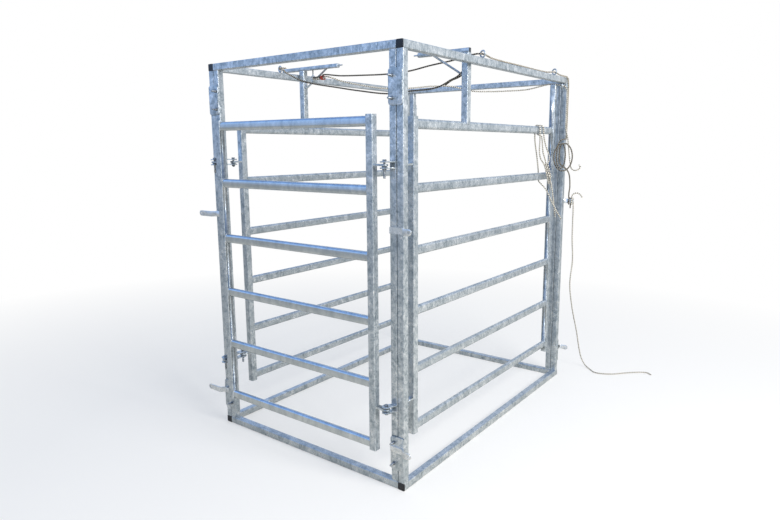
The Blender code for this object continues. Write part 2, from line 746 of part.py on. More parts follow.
def rope(name, points, kind, sides=2, bend=ROPE_BEND, origin=(0, 0, 0)):
    """One rope or hank: a round tube along a smooth way, its least gap to itself printed."""
    way = smooth_way(points, bend, ROPE_REACH)
    node(name, tube_along(way, ROPE / 2, sides), kind, origin)
    length = sum((b - a).length for a, b in zip(way, way[1:]))
    print(name, "length %.3f m" % length, "least gap %.2f mm" % (least_gap(way) * 1000), len(way))


def beside(clear):
    """Distance from a face or wire's middle to the rope's middle when the two just clear."""
    return clear + ROPE / 2 + ROPE_GAP


def rope_ends_at_arm(x_long, y_long, z_long, level):
    """A rope through the left arm's hanging eye: short end, bight round the wire, long end."""
    y = ARM_Y["left"]
    aside = beside(BRACE_RADIUS) + 3 * ROPE_GAP
    pair = beside(ROPE / 2)
    z = HANGING_EYE_Z + level * pair / 2
    wire = HANGING_EYE_X + EYE_RADIUS - 3 * ROPE_GAP
    back = [(wire + 0.085, y + pair / 2, z), (wire + 0.068, y + pair / 2, z)]
    back.append((wire + 0.036, y + aside, z))
    bight = arc((wire, y), beside(EYE_WIRE) + 3 * ROPE_GAP, 90, 270, 7)
    out = [(x, 2 * y - far, z) for x, far, z in back[:0:-1]]
    return back + [(*place, z) for place in bight] + out + [(x_long, y_long, z_long)]


def left_gate_ropes():
    """The two ropes of the left gate: one pulls it through the rings on the right rail,
    the other draws it back from the eye under that rail's rear end."""
    outside = WIDTH / 2 + ROPE / 2 + ROPE_GAP
    top = HEIGHT + ROPE / 2 + ROPE_GAP
    rail_x = (WIDTH - TUBE) / 2
    guide = HEIGHT + GUIDE_RADIUS + GUIDE_WIRE
    pull = rope_ends_at_arm(-0.436, 0.668, 2.190, 1)
    pull += [(-0.291, 0.669, 2.173), (-0.138, 0.682, 2.166), (0.046, 0.698, 2.161)]
    pull += [(0.208, 0.712, 2.168), (0.354, 0.724, 2.190), (0.499, 0.737, 2.208)]
    pull += [(0.590, 0.731, 2.2215), (0.650, 0.729, guide), (rail_x - 0.003, GUIDE_Y[0] - 0.010, guide)]
    pull += [(rail_x + 0.004, GUIDE_Y[0] + 0.016, guide - 0.002), (rail_x + 0.009, 0.85, top + 0.0035)]
    pull += [(rail_x + 0.006, 1.20, top + 0.002), (rail_x + 0.004, 1.60, top + 0.002)]
    pull += [(rail_x + 0.001, GUIDE_Y[1] - 0.020, guide - 0.003)]
    pull += [(rail_x + 0.002, GUIDE_Y[1] + 0.020, guide - 0.003), (rail_x + 0.007, 1.83, top + 0.005)]
    drop, drop_back = CORNER_DROP_Y
    pull += [(rail_x + 0.0165, 1.905, top + 0.0005), (outside - 0.0016, 1.928, HEIGHT + 0.0026)]
    pull += [(outside + 0.0012, 1.938, HEIGHT - 0.008), (outside + 0.0045, drop, HEIGHT - 0.040)]
    pull += [(outside + CORNER_STANDOFF, drop, z) for z in (2.10, 1.95, HANK_FOOT + 0.012, HANK_FOOT + ROPE_GAP)]
    rope("rope_left_pull", pull, "black_rope")

    eye_z = HEIGHT - TUBE - GUIDE_RADIUS
    back = rope_ends_at_arm(-0.409, 0.672, 2.176, -1)
    back += [(-0.345, 0.738, 2.150), (-0.244, 0.858, 2.122), (-0.158, 0.961, 2.109)]
    back += [(-0.056, 1.083, 2.113), (0.050, 1.209, 2.129), (0.139, 1.315, 2.130)]
    back += [(0.231, 1.425, 2.103), (0.322, 1.534, 2.102), (0.390, 1.615, 2.107)]
    back += [(0.493, 1.738, 2.120), (0.575, 1.845, 2.152), (0.608, 1.880, 2.1605), (0.640, 1.8945, 2.157)]
    back += [(rail_x, REAR_EYE_Y, eye_z + 0.002), (outside + 0.001, 1.916, 2.133)]
    back += [(outside + CORNER_STANDOFF, drop_back, z) for z in (2.09, 1.95, 1.86)]
    back += [(outside + 0.024, 1.926, 1.785), (0.745, 1.915, 1.700), (0.764, 1.898, 1.620)]
    back += [(0.780, 1.886, 1.575), (0.808, 1.890, 1.561), (0.838, 1.900, 1.581), (0.829, 1.896, 1.601)]
    rope("rope_left_return", back, "flecked_rope")


def right_gate_rope():
    """The rope hitched over the right arm's brace and led to the ring on the left rail."""
    y = ARM_Y["right"]
    face = SIDE_GATE_X - TUBE / 2
    aside = beside(BRACE_RADIUS)
    pair = beside(ROPE / 2)
    foot = Vector((face + BRACE_RADIUS / 2, BRACE_FOOT))
    head = Vector((BRACE_HEAD_X, ARM_BOTTOM + ARM_WALL / 2))
    way = (head - foot).normalized()
    rise = Vector((-way.y, way.x)) * (-1 if way.x > 0 else 1)
    rise = rise if rise.y > 0 else -rise
    crotch_x = face - beside(0) - 3 * ROPE_GAP
    on_axis = foot + way * ((foot.x + rise.x * aside - crotch_x) / -way.x)
    over = on_axis + rise * (aside + 0.0006)
    x, z = over
    route = [(0.497, y + pair / 2, 2.066), (0.540, y + pair / 2 + 0.001, 2.090)]
    route += [(0.580, y + aside - 0.001, 2.103), (x, y + aside, z - 0.007), (x, y, z)]
    route += [(x, y - aside, z - 0.007), (0.580, y - aside + 0.001, 2.103)]
    route += [(0.540, y - pair / 2 - 0.001, 2.090), (0.476, 0.643, 2.061), (0.411, 0.633, 2.048)]
    route += [(0.274, 0.620, 2.043), (0.130, 0.606, 2.036), (-0.060, 0.587, 2.061)]
    route += [(-0.208, 0.573, 2.086), (-0.489, 0.546, 2.140), (-0.640, 0.531, 2.205)]
    ring_x = -(WIDTH - TUBE) / 2
    mid = HEIGHT + GUIDE_RADIUS + GUIDE_WIRE
    side = beside(GUIDE_WIRE)
    route += [(ring_x + 0.018, LEFT_RING_Y + side + 0.004, mid - 0.006)]
    route += [(ring_x, LEFT_RING_Y, mid - 0.002), (ring_x + 0.010, LEFT_RING_Y - side - 0.005, mid + 0.004)]
    route += [(-0.645, 0.512, mid + 0.003), (-0.618, 0.518, mid)]
    rope("rope_right_pull", route, "black_rope")


def hank_point(across, height, layer):
    """A point of the rear hank: across its face, above its heart and back by whole layers."""
    face = Vector((0.931, 0.366, 0))
    behind = Vector((-0.366, 0.931, 0))
    heart = Vector(HANK_HEART)
    return heart + face * across + behind * (layer * HANK_PITCH) + Vector((0, 0, height))


def lug_hitch(x):
    """One turn of rope round the upper lug of the right rear post, first and last behind it."""
    front_face = REAR_Y + SEAM + LUG_STANDOFF
    z = LUG_HEIGHTS[0]
    clear = beside(2 * ROPE_GAP)
    half = LUG_HEIGHT / 2
    corners = [(front_face + PLATE, z - half, 0), (front_face, z - half, -90)]
    corners += [(front_face, z + half, 180), (front_face + PLATE, z + half, 90)]
    turn = [(front_face + PLATE + clear, z)]
    for y, level, start in corners:
        turn += arc((y, level), clear, start, start - 90, 2)
    turn.append((front_face + PLATE + clear, z))
    share = LUG_HITCH / (len(turn) - 1)
    return [(x + share * i, y, height) for i, (y, height) in enumerate(turn)]


def rear_hank():
    """The hank at the rear corner: loops in layers, then a lead down to the lug it is tied to."""
    drop_x = WIDTH / 2 + beside(0) + CORNER_STANDOFF
    drop_y = CORNER_DROP_Y[0]
    route = [(drop_x, drop_y, HANK_FOOT), (drop_x, drop_y, HANK_FOOT - ROPE)]
    route += [(0.716, 1.926, 1.778), (0.725, 1.885, 1.784)]
    route += [hank_point(0.036, 0.026, 1.8), hank_point(0.010, 0.018, -0.3)]
    for count, (middle, half_width, half_height) in enumerate(HANK_LOOPS):
        first = 3 if count == 0 else 2
        last = LOOP_POINTS if count < len(HANK_LOOPS) - 1 else 13
        for step in range(first, last):
            angle = 2 * math.pi * step / LOOP_POINTS
            across = middle - half_width * math.sin(angle)
            height = half_height * (math.cos(angle) - 1)
            route.append(hank_point(across, height, count - 1 + step / LOOP_POINTS))
    route += [(0.757, 1.850, 1.570), (0.752, 1.925, 1.525), (0.735, 1.990, 1.440)]
    route += [(LUG_HITCH_X[0] - 0.003, 2.018, 1.385), *lug_hitch(LUG_HITCH_X[0])]
    route += [(0.7345, 2.0155, 1.300), (0.733, 2.020, 1.280)]
    rope("rear_hank", route, "black_rope", 1, HANK_BEND)


def rope_tail():
    """The loose end: a curl, a hitch round the lug's tip and the fall to the ground."""
    ground = ROPE / 2 + ROPE_GAP
    x = LUG_HITCH_X[1]
    route = [(0.812, 2.046, 1.356), (0.795, 2.041, 1.383), (0.768, 2.031, 1.392)]
    route += [(x - 0.001, 2.019, 1.372), *lug_hitch(x)]
    route += [(0.757, 2.016, 1.300), (0.756, 2.022, 1.260), (0.750, 2.038, 1.160)]
    route += [(0.748, 2.050, 1.041), (0.744, 2.085, 0.881), (0.740, 2.063, 0.702)]
    route += [(0.748, 2.110, 0.509), (0.762, 2.185, 0.316), (0.786, 2.238, 0.100)]
    route += [(0.815, 2.262, 0.022), (0.862, 2.232, ground + 0.001), (0.934, 2.177, ground)]
    route += [(1.038, 2.218, ground), (1.138, 2.323, ground), (1.244, 2.405, ground)]
    rope("rope_tail", [*route, (1.294, 2.376, ground)], "black_rope")


def rail_turn(y, advance, under):
    """One turn of rope over the right gate's top rail, up its outer face and down its inner,
    and back under it where the rope goes round once more."""
    reach = (RAIL_HEIGHT - RAIL_DEPTH) / 2
    aside = RAIL_DEPTH / 2 + beside(3 * ROPE_GAP)
    turn = arc((0, SIDE_TOP_RAIL + reach), aside, 0, 180, 7)
    turn += arc((0, SIDE_TOP_RAIL - reach), aside, 180, 280 if under else 180, 4 if under else 1)
    step = advance / (len(turn) - 1)
    return [(SIDE_GATE_X + dx, y + step * i, z) for i, (dx, z) in enumerate(turn)]


def gate_hank():
    """The hank on the right gate: two turns over the top rail, strands that hang down to a
    whipping, a bight under it and two ends left trailing."""
    foot, head = Vector(WHIPPING_FOOT), Vector(WHIPPING_HEAD)
    way = (head - foot).normalized()
    outward = Vector((1, 0, 0))
    rearward = way.cross(outward)
    radius = beside(ROPE / 2) + WHIPPING_SLACK

    def round_core(share, degrees, distance):
        angle = math.radians(degrees)
        place = foot + way * ((head - foot).length * share)
        return place + (outward * math.cos(angle) + rearward * math.sin(angle)) * distance

    inner = SIDE_GATE_X - RAIL_DEPTH / 2 - beside(3 * ROPE_GAP)
    route = [(0.712, 1.792, 1.235), (0.706, 1.786, 1.290), (0.698, 1.770, 1.390), (0.693, 1.746, 1.465)]
    points = WHIPPING_TURNS * 12
    for i in range(points + 1):
        route.append(round_core(i / points, -40 + (360 * WHIPPING_TURNS + 40) * i / points, radius))
    route += [(0.690, 1.702, 1.646), (0.684, 1.703, 1.675), (0.674, 1.680, 1.724), (0.664, 1.666, 1.780)]
    route += rail_turn(1.664, -0.022, True)
    route += [(0.657, 1.638, 1.792), (0.668, 1.632, 1.735)]
    route.append((0.670, 1.638, 1.692))
    route += [head.lerp(foot, share) for share in (-0.35, -0.1, 0.15, 0.5, 0.85, 1.07)]
    route += [(0.676, 1.757, 1.484), (0.676, 1.742, 1.474), (0.676, 1.725, 1.487)]
    route += [round_core(share, -90, 2 * radius) for share in (0.1, 0.4, 0.7, 0.95)]
    route += [(0.674, 1.632, 1.622), (0.670, 1.600, 1.650), (0.667, 1.586, 1.700), (0.663, 1.598, 1.770)]
    route += rail_turn(1.604, 0.012, False)
    route += [(inner, 1.626, 1.760), (inner, 1.664, 1.660), (inner, 1.695, 1.560), (inner, 1.695, 1.505)]
    route += [(0.628, 1.690, 1.484), (0.655, 1.684, 1.462), (0.680, 1.692, 1.430)]
    route += [(0.700, 1.720, 1.370), (0.725, 1.765, 1.290), (0.752, 1.805, 1.222)]
    rope("gate_hank", route, "flecked_rope", 1, HANK_BEND, (SIDE_GATE_X, SIDE_PIN_Y, 0))


side_frames()
portals()
end_plugs()
joint_bolts()
front_gate()
for side_name, sign in SIDES.items():
    side_gate(side_name, sign)
    pull_arm(side_name, sign)
hinge_bolts()
left_gate_ropes()
right_gate_rope()
rear_hank()
rope_tail()
gate_hank()
bpy.data.collections.remove(CUTTERS)
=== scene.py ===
import json
import math

import bmesh
import bpy
import numpy as np
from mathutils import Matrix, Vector


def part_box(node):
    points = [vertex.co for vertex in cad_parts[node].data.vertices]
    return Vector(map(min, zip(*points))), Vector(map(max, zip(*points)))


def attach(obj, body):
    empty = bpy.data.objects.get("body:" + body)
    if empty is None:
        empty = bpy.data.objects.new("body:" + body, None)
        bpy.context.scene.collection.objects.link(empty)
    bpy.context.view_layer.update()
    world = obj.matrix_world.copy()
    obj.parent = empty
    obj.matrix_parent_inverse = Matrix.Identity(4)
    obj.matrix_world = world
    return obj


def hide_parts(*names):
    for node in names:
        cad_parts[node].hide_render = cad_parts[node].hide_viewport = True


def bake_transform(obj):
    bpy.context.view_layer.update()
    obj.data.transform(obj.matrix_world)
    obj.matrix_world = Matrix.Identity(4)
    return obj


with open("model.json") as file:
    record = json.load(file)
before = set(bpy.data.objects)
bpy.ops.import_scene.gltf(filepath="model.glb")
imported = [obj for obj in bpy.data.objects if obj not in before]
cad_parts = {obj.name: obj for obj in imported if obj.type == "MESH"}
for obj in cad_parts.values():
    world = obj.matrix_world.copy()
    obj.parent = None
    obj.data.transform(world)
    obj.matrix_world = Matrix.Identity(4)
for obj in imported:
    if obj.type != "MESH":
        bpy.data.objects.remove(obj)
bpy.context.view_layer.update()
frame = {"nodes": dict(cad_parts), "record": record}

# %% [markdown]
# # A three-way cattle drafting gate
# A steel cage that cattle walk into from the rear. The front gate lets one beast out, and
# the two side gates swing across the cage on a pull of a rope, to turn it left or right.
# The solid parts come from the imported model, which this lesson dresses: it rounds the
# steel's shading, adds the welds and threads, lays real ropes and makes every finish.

MM = 0.001

# %% [markdown]
# ## The camera
# The photograph was taken from standing height, off the right front corner. A camera that
# matches it can be worked out from the cage's straight edges: they give the focal length,
# the place and the turn. The picture's middle is a little off the lens's axis, as in a
# cropped photograph, and a small shift of the camera repeats that.

# %% Camera
PHOTO_WIDTH, FOCAL_PIXELS = 780, 608.14
ASIDE_PIXELS, DOWN_PIXELS = 11.01, 7.59
SENSOR_MM = 36
camera_data = bpy.data.cameras.new("photo_camera")
camera_data.sensor_width = SENSOR_MM
camera_data.lens = FOCAL_PIXELS / PHOTO_WIDTH * SENSOR_MM
camera_data.shift_x = -ASIDE_PIXELS / PHOTO_WIDTH
camera_data.shift_y = -DOWN_PIXELS / PHOTO_WIDTH
camera = bpy.data.objects.new("photo_camera", camera_data)
camera.location = (2.369, -2.317, 1.720)
camera.rotation_euler = [math.radians(t) for t in (90 - 9.727, 0.218, 36.219)]
bpy.context.scene.collection.objects.link(camera)
bpy.context.scene.camera = camera
bpy.context.scene.view_settings.view_transform = "Standard"
print("lens", round(camera_data.lens, 2), "mm")

# %% [markdown]
# ## From numbers to a mesh
# Every new piece here is a grid of points: one parameter runs round or across it, and the
# other runs along it. A small function turns such a grid into faces. Spin and mirror tools
# could make some of them, but a grid worked out with numpy says its own formula, and its
# seam closes exactly, because the last column joins the first by its number.

# %% Grids
def grid_faces(rows, columns):
    """Quads of a grid that closes round its columns: corner (i, j) is i * columns + j."""
    i, j = np.meshgrid(np.arange(rows - 1), np.arange(columns), indexing="ij")
    k = (j + 1) % columns
    corners = [i * columns + j, i * columns + k, (i + 1) * columns + k, (i + 1) * columns + j]
    return np.stack(corners, axis=-1).reshape(-1, 4)


def closed_grid(points, columns, ends):
    """A grid of rings as a solid: a centre point for each end comes after the grid's points, and
    a fan round each centre after its quads."""
    rows = len(points) // columns
    centre, last = rows * columns, (rows - 1) * columns
    pairs = [(a, (a + 1) % columns) for a in range(columns)]
    fans = [[centre, b, a] for a, b in pairs] + [[centre + 1, last + a, last + b] for a, b in pairs]
    return np.vstack([points, ends]), grid_faces(rows, columns).tolist() + fans


def mesh_piece(name, points, faces, smooth=True, uv=None):
    """An object at the origin from points (n, 3) and a list of faces; uv is one pair a corner."""
    mesh = bpy.data.meshes.new(name)
    mesh.from_pydata(points.tolist(), [], [list(f) for f in faces])
    mesh.polygons.foreach_set("use_smooth", np.full(len(mesh.polygons), smooth))
    if uv is not None:
        layer = mesh.uv_layers.new(name="length_and_turn")
        layer.data.foreach_set("uv", np.asarray(uv, np.float32).ravel())
    mesh.update()
    piece = bpy.data.objects.new(name, mesh)
    bpy.context.scene.collection.objects.link(piece)
    return piece


def unit(v):
    return v / np.linalg.norm(v, axis=-1, keepdims=True)


ANY_DIRECTION = (0.31, 0.52, 0.79)


def carried_frames(path):
    """Side and top at each station: the side of the last station, less its part along the new
    tangent, so that the frame never twists."""
    tangent = unit(np.gradient(path, axis=0))
    side = np.empty_like(tangent)
    side[0] = unit(np.cross(tangent[0], ANY_DIRECTION))
    for i in range(1, len(path)):
        side[i] = unit(side[i - 1] - tangent[i] * (side[i - 1] @ tangent[i]))
    return side, np.cross(tangent, side)


def rings_about(path, side, top, radius, around):
    """A ring at each station: station + side * r cos(turn) + top * r sin(turn). The radius is a
    number, or a grid of stations by columns."""
    turn = np.linspace(0, 2 * math.pi, around, endpoint=False)
    ring = side[:, None] * np.cos(turn)[None, :, None] + top[:, None] * np.sin(turn)[None, :, None]
    r = np.broadcast_to(radius, (len(path), around))[..., None]
    return (path[:, None] + ring * r).reshape(-1, 3)


def tube_grid(path, radius, around):
    """A round tube along the path, closed at both ends."""
    points = rings_about(path, *carried_frames(path), radius, around)
    return closed_grid(points, around, [path[0], path[-1]])


print("a grid of 3 by 4 has", len(grid_faces(3, 4)), "faces")

# %% [markdown]
# ## The ropes' routes
# Braided rope of 9 mm works the side gates. Each rope is hitched to an arm above its gate,
# led through rings and down the rear corner, and what is spare hangs in hanks. A rope can
# be a curve with a round bevel, but a braid needs its own surface, so the route comes first
# as a line, and a tube with strands is laid on it after. The lines are smooth curves
# through a few measured places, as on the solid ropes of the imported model.

# %% Rope sizes
ROPE = 9 * MM
GAP = 0.6 * MM
TUBE, WIDTH, HEIGHT = 0.040, 1.400, 2.205
RAIL_HEIGHT, RAIL_DEPTH = 0.050, 0.028
SIDE_GATE_X, SIDE_TOP_RAIL = 0.636, 1.837
ARM_Y = {"left": 0.686, "right": 0.653}
STATION = 2.4 * MM


def beside(clear):
    """Middle of a rope that just clears a face or a wire."""
    return clear + ROPE / 2 + GAP


def arc(centre, radius, start, end, steps):
    """Points on an arc, both ends included: centre + radius * (cos, sin)."""
    turns = np.radians(np.linspace(start, end, steps))
    return [(centre[0] + radius * c, centre[1] + radius * s) for c, s in zip(np.cos(turns), np.sin(turns))]


def smooth_line(route):
    """Even stations on a smooth curve: each span is a cubic whose two inner points lie a third
    of its length along the directions at its ends."""
    p = np.array([tuple(x) for x in route], float)
    p = np.vstack([2 * p[0] - p[1], p, 2 * p[-1] - p[-2]])
    a, b = p[1:-2], p[2:-1]
    third = np.linalg.norm(b - a, axis=1, keepdims=True) / 3
    leaving, arriving = a + unit(b - p[:-3]) * third, b - unit(p[3:] - a) * third
    t = np.linspace(0, 1, 80, endpoint=False)[None, :, None]
    a, b, leaving, arriving = (x[:, None] for x in (a, b, leaving, arriving))
    line = a * (1 - t) ** 3 + leaving * 3 * t * (1 - t) ** 2 + arriving * 3 * t * t * (1 - t) + b * t**3
    line = np.vstack([line.reshape(-1, 3), p[-2:-1]])
    run = np.concatenate([[0], np.cumsum(np.linalg.norm(np.diff(line, axis=0), axis=1))])
    at = np.linspace(0, run[-1], max(2, round(run[-1] / STATION) + 1))
    return np.stack([np.interp(at, run, line[:, k]) for k in range(3)], axis=1)


def length_of(line):
    return float(np.linalg.norm(np.diff(line, axis=0), axis=1).sum())


print("half a turn round a 25 mm post takes", round(math.pi * (25 / 2 * MM + ROPE / 2), 3), "m of rope")

# %% [markdown]
# The pull rope starts in the eye that hangs under the left arm, crosses the cage, passes
# the two rings on the right rail and drops down the rear corner. There its spare length is
# wound in loops and hitched to the lug. It is one rope, so it is one line here too.

# %% Pull rope and rear hank
EYE = (-0.547, 2.174, 0.018)
EYE_WIRE, BRACE_RADIUS = 0.004, 0.006
RAIL_X = (WIDTH - TUBE) / 2
OUTSIDE = WIDTH / 2 + ROPE / 2 + GAP
TOP = HEIGHT + ROPE / 2 + GAP
GUIDE = HEIGHT + 0.023
REAR_Y, LUG_Z, PLATE = 1.980, 1.334, 0.006
CORNER_X = OUTSIDE + 0.0055


def ends_at_arm(long_point, level):
    """A rope through the left arm's eye: short end, bight round the wire, long end."""
    y, pair = ARM_Y["left"], beside(ROPE / 2)
    aside = beside(BRACE_RADIUS) + 3 * GAP
    z = EYE[1] + level * pair / 2
    wire = EYE[0] + EYE[2] - 3 * GAP
    back = [(wire + 0.085, y + pair / 2, z), (wire + 0.068, y + pair / 2, z), (wire + 0.036, y + aside, z)]
    bight = [(*p, z) for p in arc((wire, y), beside(EYE_WIRE) + 3 * GAP, 90, 270, 7)]
    return back + bight + [(x, 2 * y - far, z) for x, far, z in back[:0:-1]] + [long_point]


HEART, FACE, LAYER = (0.722, 1.790, 1.750), (0.931, 0.366), 12


def hank_point(across, height, layer):
    """Across the hank's face, above its heart and back by layers of 12 mm."""
    behind = layer * LAYER * MM
    x = HEART[0] + FACE[0] * across - FACE[1] * behind
    y = HEART[1] + FACE[1] * across + FACE[0] * behind
    return (x, y, HEART[2] + height)


def lug_hitch(x):
    """One turn round the lug of the right rear post: an arc about each of its four edges."""
    near, half, clear = REAR_Y + 0.3 * MM + 0.022, 0.016, beside(2 * GAP)
    corners = [(near + PLATE, LUG_Z - half, 0), (near, LUG_Z - half, -90)]
    corners += [(near, LUG_Z + half, 180), (near + PLATE, LUG_Z + half, 90)]
    turn = [(near + PLATE + clear, LUG_Z)]
    for y, level, start in corners:
        turn += arc((y, level), clear, start, start - 90, 2)
    turn.append((near + PLATE + clear, LUG_Z))
    return [(x + 0.012 * i / (len(turn) - 1), y, z) for i, (y, z) in enumerate(turn)]


pull = ends_at_arm((-0.436, 0.668, 2.190), 1)
pull += [(-0.291, 0.669, 2.173), (-0.138, 0.682, 2.166), (0.046, 0.698, 2.161), (0.208, 0.712, 2.168)]
pull += [(0.354, 0.724, 2.190), (0.499, 0.737, 2.208), (0.590, 0.731, 2.2215), (0.650, 0.729, GUIDE)]
pull += [(0.677, 0.742, GUIDE), (0.684, 0.768, GUIDE - 0.002), (0.689, 0.85, TOP + 0.0035)]
pull += [(0.686, 1.20, TOP + 0.002), (0.684, 1.60, TOP + 0.002), (0.681, 1.740, GUIDE - 0.003)]
pull += [(0.682, 1.780, GUIDE - 0.003), (0.687, 1.83, TOP + 0.005), (0.6965, 1.905, TOP + 0.0005)]
pull += [(OUTSIDE - 0.0016, 1.928, HEIGHT + 0.0026), (OUTSIDE + 0.0012, 1.938, HEIGHT - 0.008)]
pull += [(OUTSIDE + 0.0045, 1.948, HEIGHT - 0.040)]
pull += [(CORNER_X, 1.948, z) for z in (2.10, 1.95, 1.8115)]
hank = [(CORNER_X, 1.948, 1.7905), (0.716, 1.926, 1.778), (0.725, 1.885, 1.784)]
hank += [hank_point(0.036, 0.026, 1.8), hank_point(0.010, 0.018, -0.3)]
LOOPS = ((0.029, 0.062, 0.095, 3, 24), (0.014, 0.030, 0.086, 2, 24), (0.024, 0.022, 0.078, 2, 13))
for count, (middle, half_width, half_height, first, last) in enumerate(LOOPS):
    for step in range(first, last):
        turned = 2 * math.pi * step / 24
        across = middle - half_width * math.sin(turned)
        hank.append(hank_point(across, half_height * (math.cos(turned) - 1), count - 1 + step / 24))
hank += [(0.757, 1.850, 1.570), (0.752, 1.925, 1.525), (0.735, 1.990, 1.440), (0.7195, 2.018, 1.385)]
hank += [*lug_hitch(0.7225), (0.7345, 2.0155, 1.300), (0.733, 2.020, 1.280)]
pull_line = smooth_line(pull + hank)
print("the pull rope is", round(length_of(pull_line), 3), "m long")

# %% [markdown]
# A second rope draws the left gate back: it shares the eye on the arm and goes through the
# eye under the right rail's rear end. A third one is hitched over the right arm's brace and
# tied to the ring on the left rail. The last piece lies loose: a curl at the lug, a hitch,
# and a long fall down to the ground.

# %% Other ropes
back = ends_at_arm((-0.409, 0.672, 2.176), -1)
back += [(-0.345, 0.738, 2.150), (-0.244, 0.858, 2.122), (-0.158, 0.961, 2.109), (-0.056, 1.083, 2.113)]
back += [(0.050, 1.209, 2.129), (0.139, 1.315, 2.130), (0.231, 1.425, 2.103), (0.322, 1.534, 2.102)]
back += [(0.390, 1.615, 2.107), (0.493, 1.738, 2.120), (0.575, 1.845, 2.152), (0.608, 1.880, 2.1605)]
back += [(0.640, 1.8945, 2.157), (RAIL_X, 1.905, 2.149), (OUTSIDE + 0.001, 1.916, 2.133)]
back += [(CORNER_X, 1.928, z) for z in (2.09, 1.95, 1.86)]
back += [(OUTSIDE + 0.024, 1.926, 1.785), (0.745, 1.915, 1.700), (0.764, 1.898, 1.620)]
back += [(0.780, 1.886, 1.575), (0.808, 1.890, 1.561), (0.838, 1.900, 1.581), (0.829, 1.896, 1.601)]
return_line = smooth_line(back)

y, pair, aside = ARM_Y["right"], beside(ROPE / 2), beside(BRACE_RADIUS)
foot, head = np.array((SIDE_GATE_X - TUBE / 2 + 0.003, 2.109)), np.array((0.424, 2.229))
way = unit(head - foot)
rise = np.array((way[1], -way[0]))
crotch = SIDE_GATE_X - TUBE / 2 - beside(0) - 3 * GAP
on_axis = foot + way * ((foot[0] + rise[0] * aside - crotch) / -way[0])
x, z = on_axis + rise * (aside + GAP)
cross = [(0.497, y + pair / 2, 2.066), (0.540, y + pair / 2 + 0.001, 2.090)]
cross += [(0.580, y + aside - 0.001, 2.103), (x, y + aside, z - 0.007), (x, y, z)]
cross += [(x, y - aside, z - 0.007), (0.580, y - aside + 0.001, 2.103)]
cross += [(0.540, y - pair / 2 - 0.001, 2.090), (0.476, 0.643, 2.061), (0.411, 0.633, 2.048)]
cross += [(0.274, 0.620, 2.043), (0.130, 0.606, 2.036), (-0.060, 0.587, 2.061), (-0.208, 0.573, 2.086)]
cross += [(-0.489, 0.546, 2.140), (-0.640, 0.531, 2.205), (-RAIL_X + 0.018, 0.521 + 0.0141, GUIDE - 0.006)]
cross += [(-RAIL_X, 0.521, GUIDE - 0.002), (-RAIL_X + 0.010, 0.521 - 0.0151, GUIDE + 0.004)]
cross += [(-0.645, 0.512, GUIDE + 0.003), (-0.618, 0.518, GUIDE)]
cross_line = smooth_line(cross)

ground = ROPE / 2 + GAP
fall = [(0.812, 2.046, 1.356), (0.795, 2.041, 1.383), (0.768, 2.031, 1.392), (0.7435, 2.019, 1.372)]
fall += [*lug_hitch(0.7445), (0.757, 2.016, 1.300), (0.756, 2.022, 1.260), (0.750, 2.038, 1.160)]
fall += [(0.748, 2.050, 1.041), (0.744, 2.085, 0.881), (0.740, 2.063, 0.702), (0.748, 2.110, 0.509)]
fall += [(0.762, 2.185, 0.316), (0.786, 2.238, 0.100), (0.815, 2.262, 0.022)]
fall += [(0.862, 2.232, ground + 0.001), (0.934, 2.177, ground), (1.038, 2.218, ground)]
fall += [(1.138, 2.323, ground), (1.244, 2.405, ground), (1.294, 2.376, ground)]
fall_line = smooth_line(fall)
fall_line[:, 2] = np.maximum(fall_line[:, 2], ground)
for name, line in (("return", return_line), ("cross", cross_line), ("fall", fall_line)):
    print(name, "rope:", round(length_of(line), 3), "m")

# %% [markdown]
# The hank on the right gate takes two turns over its top rail, hangs down in strands that a
# whipping of five turns binds, makes a bight under it and leaves two ends trailing. The
# whipping is a helix about the slanting line of its core.

# %% Gate hank
low_end, high_end = np.array((0.676, 1.745, 1.515)), np.array((0.676, 1.682, 1.612))
core = unit(high_end - low_end)
outward = np.array((1.0, 0, 0))
rearward = np.cross(core, outward)
whip_radius = beside(ROPE / 2) + 2.8 * MM


def round_core(share, degrees, distance):
    """A point round the whipped core: foot + share of its length + distance * (cos, sin)."""
    t = math.radians(degrees)
    place = low_end + (high_end - low_end) * share
    return tuple(place + (outward * math.cos(t) + rearward * math.sin(t)) * distance)


def rail_turn(y, advance, under):
    """Up the rail's outer face, over its crown, down its inner face and, at will, under it."""
    reach, aside = (RAIL_HEIGHT - RAIL_DEPTH) / 2, RAIL_DEPTH / 2 + beside(3 * GAP)
    turn = arc((0, SIDE_TOP_RAIL + reach), aside, 0, 180, 7)
    turn += arc((0, SIDE_TOP_RAIL - reach), aside, 180, 280 if under else 180, 4 if under else 1)
    step = advance / (len(turn) - 1)
    return [(SIDE_GATE_X + dx, y + step * i, z) for i, (dx, z) in enumerate(turn)]


inner = SIDE_GATE_X - RAIL_DEPTH / 2 - beside(3 * GAP)
wound = [(0.712, 1.792, 1.235), (0.706, 1.786, 1.290), (0.698, 1.770, 1.390), (0.693, 1.746, 1.465)]
wound += [round_core(i / 60, -40 + 1840 * i / 60, whip_radius) for i in range(61)]
wound += [(0.690, 1.702, 1.646), (0.684, 1.703, 1.675), (0.674, 1.680, 1.724), (0.664, 1.666, 1.780)]
wound += rail_turn(1.664, -0.022, True)
wound += [(0.657, 1.638, 1.792), (0.668, 1.632, 1.735), (0.670, 1.638, 1.692)]
wound += [tuple(high_end + (low_end - high_end) * s) for s in (-0.35, -0.1, 0.15, 0.5, 0.85, 1.07)]
wound += [(0.676, 1.757, 1.484), (0.676, 1.742, 1.474), (0.676, 1.725, 1.487)]
wound += [round_core(s, -90, 2 * whip_radius) for s in (0.1, 0.4, 0.7, 0.95)]
wound += [(0.674, 1.632, 1.622), (0.670, 1.600, 1.650), (0.667, 1.586, 1.700), (0.663, 1.598, 1.770)]
wound += rail_turn(1.604, 0.012, False)
